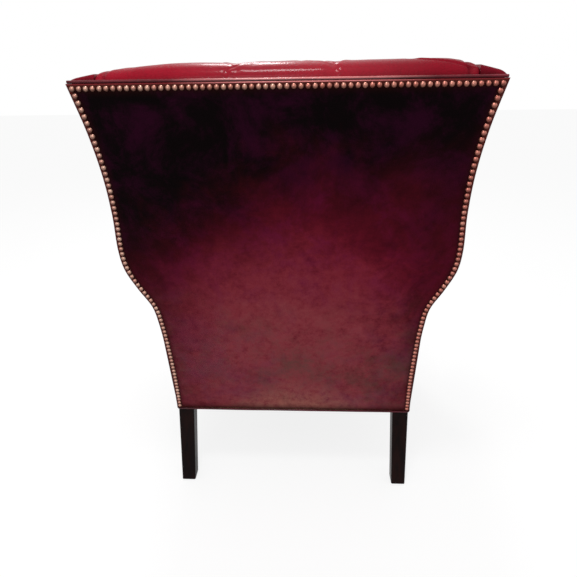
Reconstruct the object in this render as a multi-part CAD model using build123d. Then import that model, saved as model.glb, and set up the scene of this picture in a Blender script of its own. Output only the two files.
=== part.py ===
from build123d import *
import math
import os

# Wing armchair with a raked flat outside back, set out in millimetres.
# Origin on the floor under the middle of the chair, +Z up, front towards -Y, sitter's left towards +X.

# Overall sizes
overall_depth = 806
leg_clearance = 226
back_rise = 869
back_rake = 11.86
top_span = 795
front_share = 0.936

# Leather, small gaps and the overrun of all cuts
leather = 3
gap = 0.3
cut_overrun = 20

# Back outline: height up the slope and half width, as shares of the slope length and half the top span
outline_shares = (
    (0.00, 0.834),
    (0.14, 0.821),
    (0.28, 0.820),
    (0.36, 0.826),
    (0.42, 0.843),
    (0.48, 0.904),
    (0.54, 0.953),
    (0.60, 0.962),
    (0.70, 0.943),
    (0.80, 0.940),
    (0.90, 0.960),
    (1.00, 1.000),
)
outline_steps = 26

# Wooden back frame and legs
frame_thickness = 34
post_width = 38
leg_top_width = 44
leg_foot_width = 39
leg_kick = 50
leg_chamfer = 2.5
crest_rail_height = 70
lower_rail_height = 45
lower_rail_top = 430

# Seat rails and corner blocks
rail_lift = 3
rail_height = 85
rail_thickness = 28
block_reach = 60
block_height = 50
block_drop = 12

# Arm frame
leg_block = 50
stump_depth = 46
arm_frame_width = 35
arm_rail_height = 32
arm_rail_top = 555
tack_rail_height = 27
tack_rail_width = 24
tack_rail_lift = 18

# Dowels in the joints
dowel_radius = 5
dowel_length = 44
dowel_fit = 0.15
dowel_spacing_share = 0.5

# Arm padding, with the roll smaller at the back
arm_wall = 85
roll_centre_height = 588
roll_radius_front = 56
roll_radius_back = 47
roll_inset_front = 25
roll_inset_back = 34
facing_thickness = 16

# Wings
wing_wall = 62
wing_top_wall = 50
wing_reach = 280
wing_flare = 12
wing_seam = 1
stile_gap = 1
wing_base_lift = 45
wing_post_thickness = 24
wing_post_depth = 26
wing_post_back = 34
wing_post_margin = 8
wing_post_bend = 700
wing_post_top = 1030
wing_rail_height = 40
wing_cap_rise = 19
wing_cap_inset = 15
wing_cap_shares = ((0.0, 0.0), (0.6, 0.35), (1.0, 1.0))
wing_steps = 19
wing_reach_shares = (
    (0.36, 0.70),
    (0.48, 0.80),
    (0.56, 0.88),
    (0.64, 0.97),
    (0.74, 1.00),
    (0.82, 0.96),
    (0.90, 0.84),
    (0.96, 0.66),
    (1.00, 0.45),
)

# Inside back, tufting and buttons
back_stuffing = 75
back_edge_round = 22
back_side_gap = 3
back_steps = 20
roll_steps = 5
tuft_spacing = 182
tuft_row_gap = 118
tuft_rows = 4
tuft_top_drop = 130
tuft_radius = 26
tuft_depth = 20
groove_width = 22
groove_depth = 9
button_radius = 11
button_height = 6
button_play = 0.5

# Crown roll over the top rail
crown_rise = 33
crown_lip = 6
crown_pleat_width = 26
crown_pleat_share = 0.84
crown_end_share = 0.74
crown_shoulder = 60
crown_back_share = 0.85
crown_front_share = 0.72
crown_steps = 31

# Springs, clips, webbing and seat cloths
spring_wire = 4
spring_count = 5
spring_width = 44
spring_pitch = 34
spring_seat = 16
clip_width = 16
clip_length = 22
clip_height = 9
webbing_width = 50
webbing_thickness = 2
webbing_row_shares = (0.50, 0.62, 0.74, 0.86)
webbing_strap_shares = (-0.6, 0.0, 0.6)
burlap_thickness = 2
deck_front_height = 36
deck_cover_thickness = 2
deck_side_gap = 1.5
seat_slope = 3
dust_cover_thickness = 1
border_thickness = 12

# Loose seat cushion
cushion_height = 112
cushion_crown = 20
cushion_side_gap = 11
cushion_back_gap = 11
cushion_front_inset = 14
cushion_corner = 34
cushion_bow = 6
cushion_draw = 5
cushion_leather = 2
cushion_crown_shares = ((0.0, 0.0), (0.32, 0.55), (0.66, 0.88), (1.0, 1.0))
cushion_crown_inset = 125
cushion_welt_radius = 4
zip_length = 380
zip_height = 14
zip_thickness = 2

# Nails, welts, glides
nail_pitch = 12.7
nail_radius = 5.5
nail_dome = 3.4
nail_shank_radius = 0.9
nail_shank = 10
nail_inset = 9
crest_cord_radius = 3
base_cord_radius = 3
glide_radius = 12
glide_height = 4

# Cabriole front legs: height share, then outward set, width and corner as shares of the leg block
cabriole_shares = (
    (1.000, 0.00, 1.00, 0.06),
    (0.910, 0.14, 1.18, 0.22),
    (0.790, 0.22, 1.22, 0.30),
    (0.650, 0.20, 1.04, 0.34),
    (0.480, 0.08, 0.82, 0.38),
    (0.310, -0.03, 0.66, 0.42),
    (0.180, 0.00, 0.62, 0.45),
    (0.110, 0.10, 0.80, 0.46),
    (0.060, 0.17, 1.06, 0.47),
    (0.000, 0.18, 1.04, 0.47),
)

# Values worked out from the sizes above
rake = math.radians(back_rake)
slope = math.radians(seat_slope)
slope_length = back_rise / math.cos(rake)
top_height = leg_clearance + back_rise
half_top = top_span / 2
half_foot = half_top * outline_shares[0][1]
front_y = nail_dome - overall_depth / 2
back_foot_y = overall_depth / 2 - back_rise * math.tan(rake) - nail_dome
side_slope = (half_top * front_share - half_foot) / (back_foot_y - front_y)
frame_y = front_y + facing_thickness
frame_front = leather + gap + frame_thickness
pad_back = frame_front + 2 * webbing_thickness + gap
pad_front = pad_back + back_stuffing
panel_bottom = leg_clearance + 2 * base_cord_radius + gap
rail_bottom = leg_clearance + rail_lift
rail_top = rail_bottom + rail_height
burlap_bottom = rail_top + clip_height + gap
pad_floor = burlap_bottom + burlap_thickness + gap
deck_top = pad_floor + deck_front_height
deck_cover_bottom = deck_top + gap
cushion_bottom = deck_cover_bottom + deck_cover_thickness + gap
crown_bottom = top_height + gap
crest_depth = 4 * crest_cord_radius + gap
far = 2 * (overall_depth + top_height)


def smooth(table, share):
    """Value of a smooth curve through the pairs of a table, at one share."""
    last = len(table) - 1
    share = min(max(share, table[0][0]), table[last][0])
    cell = max(k for k in range(last) if table[k][0] <= share)
    slopes = []
    for k in (cell, cell + 1):
        before = table[max(k - 1, 0)]
        after = table[min(k + 1, last)]
        slopes.append((after[1] - before[1]) / (after[0] - before[0]))
    start, end = table[cell], table[cell + 1]
    run = end[0] - start[0]
    t = (share - start[0]) / run
    return (
        (2 * t**3 - 3 * t**2 + 1) * start[1]
        + (t**3 - 2 * t**2 + t) * run * slopes[0]
        + (3 * t**2 - 2 * t**3) * end[1]
        + (t**3 - t**2) * run * slopes[1]
    )


def steps(start, end, count):
    """Evenly spaced values from start to end, both included."""
    return [start + (end - start) * k / (count - 1) for k in range(count)]


def back_y(z, depth=0.0):
    """Where a plane set in from the outside back lies at height z."""
    return back_foot_y + (z - leg_clearance) * math.tan(rake) - depth / math.cos(rake)


def edge_x(z):
    """Half the width of the back at height z."""
    return half_top * smooth(outline_shares, (z - leg_clearance) / back_rise)


def side_x(y, inward=0.0):
    """Where a plane set in from the outside arm lies at depth y."""
    return half_foot + (back_foot_y - y) * side_slope - inward


# Frame of the outside back: x across, y up the slope, z forwards into the chair
back_plane = Plane(
    origin=(0, back_foot_y, leg_clearance),
    x_dir=(1, 0, 0),
    z_dir=(0, -math.cos(rake), math.sin(rake)),
)


def upright(y):
    """Plane across the chair at one depth: x across, y up."""
    return Plane(origin=(0, y, 0), x_dir=(1, 0, 0), z_dir=(0, -1, 0))


def level(z):
    """Level plane at one height."""
    return Plane.XY.offset(z)


def polygon(*points):
    """Face inside straight edges."""
    return make_face(Polyline(*points, close=True))


def back_block(near, deep, left, right, low, high):
    """Block that follows the slope of the back, between two depths in from its outer face."""
    outline = polygon((left, low), (right, low), (right, high), (left, high))
    return extrude(back_plane.offset(near) * outline, deep - near)


def ahead_of(depth):
    """Everything in front of a plane that lies this deep in the back."""
    return back_block(depth, far, -far, far, -far, far)


def slab(low, high):
    """Everything between two heights."""
    return extrude(level(low) * Rectangle(far, far), high - low)


def solid(shape):
    """The largest solid of a shape, which drops loose slivers of a cut."""
    return sorted(shape.solids(), key=lambda piece: -piece.volume)[0]


def mirrored(shape):
    """The same piece for the other side."""
    return mirror(shape, about=Plane.YZ)


def along_arm(section, back, front):
    """Straight loft along the left arm, between sections drawn at two depths."""
    ends = [upright(y) * make_face(section(y)) for y in (back, front)]
    return loft(ends, ruled=True)


def arm_bar(back, front, outer, inner, low, high):
    """Bar along the left arm, set in from its outside between two distances."""

    def section(y):
        return Polyline(
            (side_x(y, outer), low),
            (side_x(y, inner), low),
            (side_x(y, inner), high),
            (side_x(y, outer), high),
            close=True,
        )

    return along_arm(section, back, front)


def between_arms(front, back, inward):
    """Level face between the two arms, this far in from their outsides."""
    return polygon(
        (-side_x(front, inward), front),
        (side_x(front, inward), front),
        (side_x(back, inward), back),
        (-side_x(back, inward), back),
    )


def rod(start, end, radius):
    """Round bar from one point to another."""
    run = Vector(*end) - Vector(*start)
    return solid(extrude(Plane(origin=start, z_dir=run) * Circle(radius), run.length))


# Wooden frame
post_outer = half_top * min(share for height, share in outline_shares) - leather - gap
post_inner = post_outer - post_width
leg_outer = half_foot - leather
rear_leg_y = back_y(leg_clearance, leather + gap)
rear_foot = (leg_outer - leg_foot_width / 2, rear_leg_y + leg_kick - leg_foot_width / 2)
front_foot = (
    side_x(frame_y, leather + gap + leg_block / 2) + leg_block * cabriole_shares[-1][1],
    frame_y + leg_block / 2 - leg_block * cabriole_shares[-1][1],
)
stump_back = frame_y + stump_depth
block_back = frame_y + leg_block


def rear_post():
    """Left rear leg and back post in one, bent at the seat."""
    post = back_block(
        leather + gap, frame_front, post_inner, post_outer, -leg_top_width, slope_length - crest_rail_height
    )
    top = Pos((post_inner + leg_outer) / 2, rear_leg_y - leg_top_width / 2)
    foot = Pos(*rear_foot)
    leg = loft(
        [
            level(glide_height) * foot * Rectangle(leg_foot_width, leg_foot_width),
            level(leg_clearance) * top * Rectangle(leg_outer - post_inner, leg_top_width),
        ],
        ruled=True,
    )
    corners = leg.edges().filter_by(lambda edge: edge.bounding_box().size.Z > leg_clearance / 2)
    return solid(chamfer(corners, leg_chamfer) + (post & slab(leg_clearance, far)))


def front_leg():
    """Left front leg: a square block in the seat corner over a curved leg with a round foot."""
    block = arm_bar(block_back, frame_y, leather + gap, leather + gap + leg_block, leg_clearance, rail_top)
    middle = (side_x(frame_y, leather + gap + leg_block / 2), frame_y + leg_block / 2)
    sections = []
    for height, outset, width, corner in reversed(cabriole_shares):
        place = Pos(middle[0] + leg_block * outset, middle[1] - leg_block * outset)
        outline = RectangleRounded(leg_block * width, leg_block * width, leg_block * width * corner)
        sections.append(level(glide_height + (leg_clearance - glide_height) * height) * place * outline)
    return solid(block + loft(sections))


def glide(place):
    """Round foot under one leg."""
    return extrude(level(0) * Pos(*place) * Circle(glide_radius), glide_height)


def outline_face(low, high, inset):
    """Face inside the back's outline between two heights, in the frame of the back."""
    heights = steps(low, high, outline_steps)
    edge = [(edge_x(z) - inset, (z - leg_clearance) / math.cos(rake)) for z in heights]
    right = Spline(*edge)
    left = Spline(*[(-x, y) for x, y in edge])
    return make_face([right, left, Line(left @ 0, right @ 0), Line(left @ 1, right @ 1)])


def crest_rail():
    """Top rail, across the posts and the wing stiles."""
    low = top_height - crest_rail_height * math.cos(rake)
    outline = outline_face(low, top_height, leather + stile_gap)
    rail = extrude(back_plane.offset(leather + gap) * outline, frame_thickness)
    return solid(rail & slab(0, top_height))


def wing_stile():
    """Left stile outside the back post, sawn to the outline of the back."""
    high = top_height - crest_rail_height * math.cos(rake)
    outline = outline_face(arm_rail_top, high, leather + stile_gap)
    stile = extrude(back_plane.offset(leather + gap) * outline, frame_thickness)
    return solid(stile & back_block(0, far, post_outer, far, 0, far))


def lower_back_rail():
    """Rail across the posts under the inside back."""
    high = (lower_rail_top - leg_clearance) / math.cos(rake)
    low = high - lower_rail_height
    return solid(back_block(leather + gap, frame_front, -post_inner, post_inner, low, high))


def rear_seat_rail():
    """Rail across the posts under the seat."""
    rail = back_block(leather + gap, leather + gap + rail_thickness, -post_inner, post_inner, 0, far)
    return solid(rail & slab(rail_bottom, rail_top))


def front_seat_rail():
    """Rail between the front leg blocks."""
    outline = between_arms(frame_y, frame_y + rail_thickness, leather + gap + leg_block)
    return solid(extrude(level(rail_bottom) * outline, rail_height))


def side_seat_rail():
    """Left seat rail, from the front leg block to the post."""
    rail = arm_bar(far, block_back, leather + gap, leather + gap + rail_thickness, rail_bottom, rail_top)
    return solid(rail & ahead_of(frame_front))


def corner_blocks(front_block, back_post, side_rail):
    """Four glued blocks in the corners of the seat, cut round the legs."""
    front = frame_y + rail_thickness
    back = back_y(rail_top, leather + gap + rail_thickness)
    inner = leather + gap + rail_thickness
    low = rail_top - block_height - block_drop
    front_face = polygon(
        (side_x(front, inner), front),
        (side_x(front + block_reach, inner), front + block_reach),
        (side_x(front, inner + block_reach), front),
    )
    back_face = polygon(
        (side_x(back, 0), back + rail_thickness),
        (side_x(back - block_reach, inner), back - block_reach),
        (side_x(back, inner + block_reach), back),
        (side_x(back, inner + block_reach), back + rail_thickness),
    )
    front_one = solid(extrude(level(low) * front_face, block_height) - front_block)
    rear_cut = extrude(level(low) * back_face, block_height) & ahead_of(leather + gap + rail_thickness)
    rear_one = solid(rear_cut - back_post - side_rail)
    return [front_one, mirrored(front_one), rear_one, mirrored(rear_one)]


def arm_stump():
    """Left front upright of the arm, on the leg block."""
    inner = leather + gap + arm_frame_width
    return solid(arm_bar(stump_back, frame_y, leather + gap, inner, rail_top, arm_rail_top - arm_rail_height))


def arm_rail():
    """Left arm rail, from the front stump to the post."""
    inner = leather + gap + arm_frame_width
    rail = arm_bar(far, frame_y, leather + gap, inner, arm_rail_top - arm_rail_height, arm_rail_top)
    return solid(rail & ahead_of(frame_front))


def tack_rail():
    """Left rail beside the seat that the inside arm is tacked to."""
    inner = leather + gap + arm_frame_width
    low = rail_top + tack_rail_lift
    rail = arm_bar(far, stump_back, inner - tack_rail_width, inner, low, low + tack_rail_height)
    return solid(rail & ahead_of(frame_front))


arm_end_y = back_y(roll_centre_height + roll_radius_front)


def roll_section(y, extra=0.0):
    """Centre and radius of the arm roll at one depth."""
    share = (back_foot_y - y) / (back_foot_y - front_y)
    radius = roll_radius_back + (roll_radius_front - roll_radius_back) * share + extra
    inset = roll_inset_back + (roll_inset_front - roll_inset_back) * share
    return side_x(y, inset), radius


def roll_cutter(extra):
    """The whole left arm roll, made larger by a gap, to cut what sits on it."""

    def section(y):
        centre, radius = roll_section(y, extra)
        return Pos(centre, roll_centre_height) * CenterArc((0, 0), radius, 0, 360)

    return along_arm(section, arm_end_y, front_y)


def wing_line(z):
    """Outer x at the back edge, back edge y, front tip y and thickness of the wing at height z."""
    share = (z - leg_clearance) / back_rise
    back = back_y(z)
    tip = back - wing_reach * smooth(wing_reach_shares, share)
    start = smooth(outline_shares, share)
    wall = wing_wall + (wing_top_wall - wing_wall) * min(share, 1.0)
    return half_top * start, back, tip, wall


def wing_x(z, y, inward=0.0):
    """Where a surface set in from the outside wing lies at height z and depth y."""
    outer, back, tip, wall = wing_line(z)
    return outer + wing_flare * (back - y) / wing_reach - inward


def wing_nose_y(z):
    """Where the wing's round nose starts at height z."""
    outer, back, tip, wall = wing_line(z)
    return tip + wall / 2


def wing_post_place(z):
    """Where the middle of the wing's upright stands at a height above the arm."""
    y = wing_line(z)[2] + wing_post_back
    return z, wing_x(z, y, leather + wing_post_thickness / 2 + 2 * wing_post_margin), y


post_foot_y = wing_post_place(wing_post_bend)[2]
post_foot_x = side_x(post_foot_y, leather + (wing_post_thickness + wing_post_margin) / 2)
post_places = (
    (arm_rail_top, post_foot_x, post_foot_y),
    wing_post_place(wing_post_bend),
    wing_post_place(wing_post_top),
)


def wing_post(extra=0.0):
    """Left upright in the front of the wing, bent over the arm."""
    sections = []
    for z, x, y in post_places:
        outline = Rectangle(wing_post_thickness + 2 * extra, wing_post_depth + 2 * extra)
        sections.append(level(z) * Pos(x, y) * outline)
    lower = loft(sections[:2], ruled=True)
    upper = loft(sections[1:], ruled=True)
    return solid(lower + upper)


def wing_rail(extra=0.0):
    """Left top rail of the wing, from the upright back to the stile."""
    z, x, y = post_places[-1]
    low = z - wing_rail_height - extra
    high = z + extra
    front = y + wing_post_depth / 2
    back = back_y(z)
    near = Pos(x, (low + high) / 2) * Rectangle(wing_post_thickness + 2 * extra, high - low)
    end_x = wing_x(z, back, leather + gap + wing_post_margin + wing_post_thickness / 2)
    end = Pos(end_x, (low + high) / 2) * Rectangle(wing_post_thickness + 2 * extra, high - low)
    rail = loft([upright(back) * end, upright(front) * near], ruled=True)
    return rail & ahead_of(frame_front)


def dowel_places():
    """Middle and direction of each dowel on the left side, two for each joint."""
    spread = rail_height * dowel_spacing_share / 2
    middle_z = (rail_bottom + rail_top) / 2
    rail_middle = leather + gap + rail_thickness / 2
    frame_middle = leather + gap + arm_frame_width / 2
    front_rail_y = frame_y + rail_thickness / 2
    along = Vector(side_slope, -1, 0)
    up_slope = Vector(0, math.sin(rake), math.cos(rake))
    places = []
    for z in (middle_z - spread, middle_z + spread):
        places.append(((side_x(front_rail_y, leather + gap + leg_block), front_rail_y, z), Vector(1, 0, 0)))
        places.append(((side_x(block_back, rail_middle), block_back, z), along))
        places.append(((post_inner, back_y(z, rail_middle), z), Vector(1, 0, 0)))
        joint_y = back_y(z, frame_front)
        places.append(((side_x(joint_y, rail_middle), joint_y, z), along))
    for shift in (-dowel_radius * 2, dowel_radius * 2):
        y = frame_y + stump_depth / 2 + shift
        for z in (rail_top, arm_rail_top - arm_rail_height):
            places.append(((side_x(y, frame_middle), y, z), Vector(0, 0, 1)))
        low = lower_rail_top - lower_rail_height / 2 + shift
        places.append(((post_inner, back_y(low, leather + frame_thickness / 2), low), Vector(1, 0, 0)))
        joint = back_plane * Pos(
            post_inner + post_width / 2 + shift, slope_length - crest_rail_height, frame_thickness / 2
        )
        places.append((tuple(joint.position), up_slope))
    return places


def dowels(radius, length):
    """All dowels of both sides, or their holes, as round bars."""
    bars = []
    for middle, direction in dowel_places():
        half = direction.normalized() * (length / 2)
        start = Vector(*middle) - half
        end = Vector(*middle) + half
        bar = rod(tuple(start), tuple(end), radius)
        bars += [bar, mirrored(bar)]
    return bars


# Seat suspension and cloths
seat_front = frame_y
deck_back = back_y(pad_floor, pad_front) - gap


def deck_z(y, base):
    """Height of the sloping deck at depth y, from its height at the front."""
    return base - (y - front_y) * math.tan(slope)


def spring_places():
    """Middle of each spring across the seat."""
    reach = side_x(deck_back, arm_wall) - spring_width
    return steps(-reach, reach, spring_count)


def spring(x):
    """Flat zigzag spring, front to back over the rails."""
    z = rail_top + clip_height / 2
    bend = spring_pitch / 2
    half = spring_width / 2
    start = frame_y + spring_seat
    end = back_y(rail_top, leather + gap + rail_thickness) + spring_seat
    turns = 2 * int((end - start - 4 * spring_seat) / spring_pitch / 2)
    first = (start + end - turns * spring_pitch) / 2
    last = first + turns * spring_pitch
    reach = bend / math.sqrt(2)
    edges = [Line((x, start), (x, first - bend))]
    corner = (x + bend - reach, first - bend + reach)
    edges.append(ThreePointArc((x, first - bend), corner, (x + bend, first)))
    edges.append(Line((x + bend, first), (x + half, first)))
    for turn in range(turns):
        y = first + turn * spring_pitch
        sign = 1 if turn % 2 == 0 else -1
        side = x + sign * half
        top = y + spring_pitch
        edges.append(ThreePointArc((side, y), (side + sign * bend, y + bend), (side, top)))
        edges.append(Line((side, top), (x - (bend if turn == turns - 1 else half * sign), top)))
    corner = (x - bend + reach, last + bend - reach)
    edges.append(ThreePointArc((x - bend, last), corner, (x, last + bend)))
    edges.append(Line((x, last + bend), (x, end)))
    path = level(z) * Wire(edges)
    return solid(sweep(Plane(origin=path @ 0, z_dir=path % 0) * Circle(spring_wire / 2), path=path))


def spring_clip(x, y):
    """Clip that holds a spring's end down on a rail."""
    body = level(rail_top) * Pos(x, y) * Rectangle(clip_width, clip_length)
    bore = rod(
        (x, y - clip_length, rail_top + clip_height / 2),
        (x, y + clip_length, rail_top + clip_height / 2),
        spring_wire / 2 + gap,
    )
    return solid(extrude(body, clip_height) - bore)


def burlap():
    """Cloth over the springs."""
    outline = between_arms(seat_front, back_y(burlap_bottom, leather + gap), arm_wall + deck_side_gap)
    return solid(extrude(level(burlap_bottom) * outline, burlap_thickness))


border_front = facing_thickness - border_thickness


def deck_pad():
    """Wedge of stuffing on the cloth, thicker at the front."""
    profile = polygon(
        (seat_front, pad_floor),
        (deck_back, pad_floor),
        (deck_back, deck_z(deck_back, deck_top)),
        (seat_front, deck_z(seat_front, deck_top)),
    )
    outline = extrude(level(0) * between_arms(seat_front, deck_back, arm_wall + deck_side_gap), far)
    return solid(extrude(Plane.YZ * profile, far, both=True) & outline)


def deck_cover():
    """Cloth over the deck and over the top of the front border."""
    front = front_y + border_front
    low, high = deck_cover_bottom, deck_cover_bottom + deck_cover_thickness
    profile = polygon(
        (front, deck_z(front, low)),
        (deck_back, deck_z(deck_back, low)),
        (deck_back, deck_z(deck_back, high)),
        (front, deck_z(front, high)),
    )
    outline = extrude(level(0) * between_arms(front, deck_back, arm_wall + deck_side_gap), far)
    return solid(extrude(Plane.YZ * profile, far, both=True) & outline)


def front_border():
    """Padded front of the seat, between the arm facings."""
    front = front_y + border_front
    profile = polygon(
        (front, panel_bottom),
        (frame_y, panel_bottom),
        (frame_y, deck_z(frame_y, deck_top)),
        (front, deck_z(front, deck_top)),
    )
    outline = extrude(level(0) * between_arms(front, frame_y, arm_wall + gap), far)
    return solid(extrude(Plane.YZ * profile, far, both=True) & outline)


def dust_cover(legs):
    """Thin cloth under the seat rails, cut round the legs."""
    outline = between_arms(frame_y, back_y(rail_bottom, leather + gap), leather + gap)
    sheet = extrude(level(rail_bottom - dust_cover_thickness) * outline, dust_cover_thickness)
    for leg in legs:
        sheet = sheet - leg
    return solid(sheet & ahead_of(leather + gap))


def back_webbing():
    """Straps across the posts and down over them."""
    half = webbing_width / 2
    straps = []
    for share in webbing_row_shares:
        middle = slope_length * share
        straps.append(
            back_block(
                frame_front,
                frame_front + webbing_thickness,
                -post_inner - half / 2,
                post_inner + half / 2,
                middle - half,
                middle + half,
            )
        )
    low = (lower_rail_top - leg_clearance) / math.cos(rake) - lower_rail_height
    high = slope_length - crest_rail_height / 2
    near = frame_front + webbing_thickness
    for share in webbing_strap_shares:
        middle = post_inner * share
        straps.append(back_block(near, near + webbing_thickness, middle - half, middle + half, low, high))
    return [solid(strap) for strap in straps]


# Upholstery of the arms
def arm_pad_section(y):
    """Section of the left inside arm with its roll, over the arm rail."""
    centre, radius = roll_section(y)
    ledge = arm_rail_top + gap
    drop = roll_centre_height - ledge
    reach = math.sqrt(radius**2 - drop**2)
    frame_inner = side_x(y, leather + gap + arm_frame_width + gap)
    corner = radius / math.sqrt(2)
    low_angle = math.atan2(-drop, reach) / 2
    edges = [
        Line((side_x(y, arm_wall), rail_top + gap), (centre - radius, roll_centre_height)),
        ThreePointArc(
            (centre - radius, roll_centre_height),
            (centre - corner, roll_centre_height + corner),
            (centre, roll_centre_height + radius),
        ),
        ThreePointArc(
            (centre, roll_centre_height + radius),
            (centre + corner, roll_centre_height + corner),
            (centre + radius, roll_centre_height),
        ),
        ThreePointArc(
            (centre + radius, roll_centre_height),
            (centre + radius * math.cos(low_angle), roll_centre_height + radius * math.sin(low_angle)),
            (centre + reach, ledge),
        ),
        Line((centre + reach, ledge), (frame_inner, ledge)),
        Line((frame_inner, ledge), (frame_inner, rail_top + gap)),
        Line((frame_inner, rail_top + gap), (side_x(y, arm_wall), rail_top + gap)),
    ]
    return edges


def inside_arm():
    """Left inside arm and roll, trimmed to the back frame and cut for the wing's upright."""
    pad = along_arm(arm_pad_section, arm_end_y, frame_y) & ahead_of(frame_front + gap)
    return solid(pad - wing_post(gap))


def outside_arm():
    """Left outside arm panel, up to the underside of the roll."""
    panel = arm_bar(far, frame_y, 0, leather, panel_bottom, arm_rail_top)
    return solid(panel & ahead_of(leather + gap))


def facing_path(inset):
    """Edge of the left arm's front panel: up the outside, round the scroll and down the inside."""
    centre, radius = roll_section(front_y, -inset)
    outer = side_x(front_y, inset)
    inner = side_x(front_y, arm_wall - inset)
    rise = outer - centre
    start_angle = -math.acos(rise / radius)
    middle_angle = start_angle / 2
    corner = radius / math.sqrt(2)
    z = roll_centre_height
    return Wire(
        [
            Line((outer, panel_bottom + inset), (outer, z + radius * math.sin(start_angle))),
            ThreePointArc(
                (outer, z + radius * math.sin(start_angle)),
                (centre + radius * math.cos(middle_angle), z + radius * math.sin(middle_angle)),
                (centre + radius, z),
            ),
            ThreePointArc((centre + radius, z), (centre + corner, z + corner), (centre, z + radius)),
            ThreePointArc((centre, z + radius), (centre - corner, z + corner), (centre - radius, z)),
            Line((centre - radius, z), (inner, panel_bottom + inset)),
        ]
    )


def arm_front():
    """Left front panel of the arm with its scroll."""
    path = facing_path(0)
    face = make_face([*path.edges(), Line(path @ 1, path @ 0)])
    return solid(extrude(upright(frame_y) * face, facing_thickness))


# Upholstery of the wings
def wing_outline(z, back_depth, inset=0.0):
    """Level section of the whole left wing at height z."""
    outer, back, tip, wall = wing_line(z)
    rear = back_y(z, back_depth) - inset
    nose = wall / 2
    start = tip + nose
    half = (wall - 2 * inset) / 2
    middle = wing_x(z, start, wall / 2)
    corner = half / math.sqrt(2)
    return [
        Line((wing_x(z, rear, inset), rear), (middle + half, start)),
        ThreePointArc((middle + half, start), (middle + corner, start - corner), (middle, start - half)),
        ThreePointArc((middle, start - half), (middle - corner, start - corner), (middle - half, start)),
        Line((middle - half, start), (wing_x(z, rear, wall - inset), rear)),
        Line((wing_x(z, rear, wall - inset), rear), (wing_x(z, rear, inset), rear)),
    ]


def wing_pad_outline(z):
    """Level section of the padding, hollow behind its nose for the wooden frame."""
    outer, back, tip, wall = wing_line(z)
    rear = back_y(z, frame_front + gap)
    half = wall / 2
    start = tip + half
    middle = wing_x(z, start, half)
    corner = half / math.sqrt(2)
    hollow = wing_post_thickness + leather
    return [
        ThreePointArc((middle + half, start), (middle + corner, start - corner), (middle, start - half)),
        ThreePointArc((middle, start - half), (middle - corner, start - corner), (middle - half, start)),
        Line((middle - half, start), (wing_x(z, rear, wall), rear)),
        Line((wing_x(z, rear, wall), rear), (wing_x(z, rear, hollow), rear)),
        Line((wing_x(z, rear, hollow), rear), (wing_x(z, start, hollow), start)),
        Line((wing_x(z, start, hollow), start), (middle + half, start)),
    ]


def wing_cap():
    """Rounded top of the wing, over its skin and its rail."""
    sections = []
    for rise_share, inset_share in wing_cap_shares:
        outline = wing_outline(top_height, crest_depth, wing_cap_inset * inset_share)
        sections.append(level(crown_bottom + wing_cap_rise * rise_share) * make_face(outline))
    return loft(sections)


def inside_wing():
    """Left wing padding with its nose and rounded top, sitting on the arm roll."""
    heights = steps(arm_rail_top + wing_base_lift, crown_bottom, wing_steps)
    pad = loft([level(z) * make_face(wing_pad_outline(z)) for z in heights])
    pad = pad + wing_cap()
    return solid(pad - wing_post(gap) - wing_rail(gap) - roll_cutter(gap))


def outside_wing():
    """Left outside wing panel, from the arm to the top."""
    sections = []
    for z in steps(arm_rail_top + gap, top_height, wing_steps):
        rear = back_y(z, leather + gap)
        start = wing_nose_y(z) + wing_seam
        outline = polygon(
            (wing_x(z, rear), rear),
            (wing_x(z, start), start),
            (wing_x(z, start, leather), start),
            (wing_x(z, rear, leather), rear),
        )
        sections.append(level(z) * outline)
    return solid(loft(sections) - roll_cutter(gap))


# Inside back
def inner_x(z):
    """Half the room between the arms or the wings at height z, along the back frame."""
    y = back_y(z, pad_back)
    centre, radius = roll_section(y)
    rise = z - roll_centre_height
    over_wing = wing_x(z, y, wing_line(z)[3])
    if rise <= 0:
        return side_x(y, arm_wall)
    if rise < roll_radius_front:
        return min(over_wing, centre - math.sqrt(max(radius**2 - rise**2, 0)))
    return over_wing


def inside_back_outline(z):
    """Level section of the inside back at height z, with rounded front corners."""
    back = back_y(z, pad_back)
    front = back_y(z, pad_front)
    half = inner_x(z) - back_side_gap
    edge = back_edge_round
    corner = edge * (1 - 1 / math.sqrt(2))
    return [
        Line((half, back), (half, front + edge)),
        ThreePointArc((half, front + edge), (half - corner, front + corner), (half - edge, front)),
        Line((half - edge, front), (edge - half, front)),
        ThreePointArc((edge - half, front), (corner - half, front + corner), (-half, front + edge)),
        Line((-half, front + edge), (-half, back)),
        Line((-half, back), (half, back)),
    ]


def tuft_places():
    """Buttons of the inside back: across and up the slope, in staggered rows."""
    places = []
    reach = inner_x(top_height) - tuft_radius - back_edge_round
    for row in range(tuft_rows):
        v = slope_length - tuft_top_drop - row * tuft_row_gap
        shift = (row + 1) % 2 / 2
        for column in range(-tuft_rows, tuft_rows + 1):
            u = tuft_spacing * (column + shift)
            if abs(u) <= reach:
                places.append((u, v, row))
    return places


def groove(start, end):
    """Cutter for one folded pleat between two points on the front of the inside back."""
    surface = back_plane.offset(pad_front)
    a = surface.from_local_coords(Vector(*start, 0))
    b = surface.from_local_coords(Vector(*end, 0))
    run = b - a
    place = Plane(origin=a, x_dir=surface.z_dir.cross(run), z_dir=run)
    half = groove_width / 2
    outline = polygon((-half, 0), (0, -groove_depth), (half, 0), (half, cut_overrun), (-half, cut_overrun))
    return extrude(place * outline, run.length)


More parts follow.
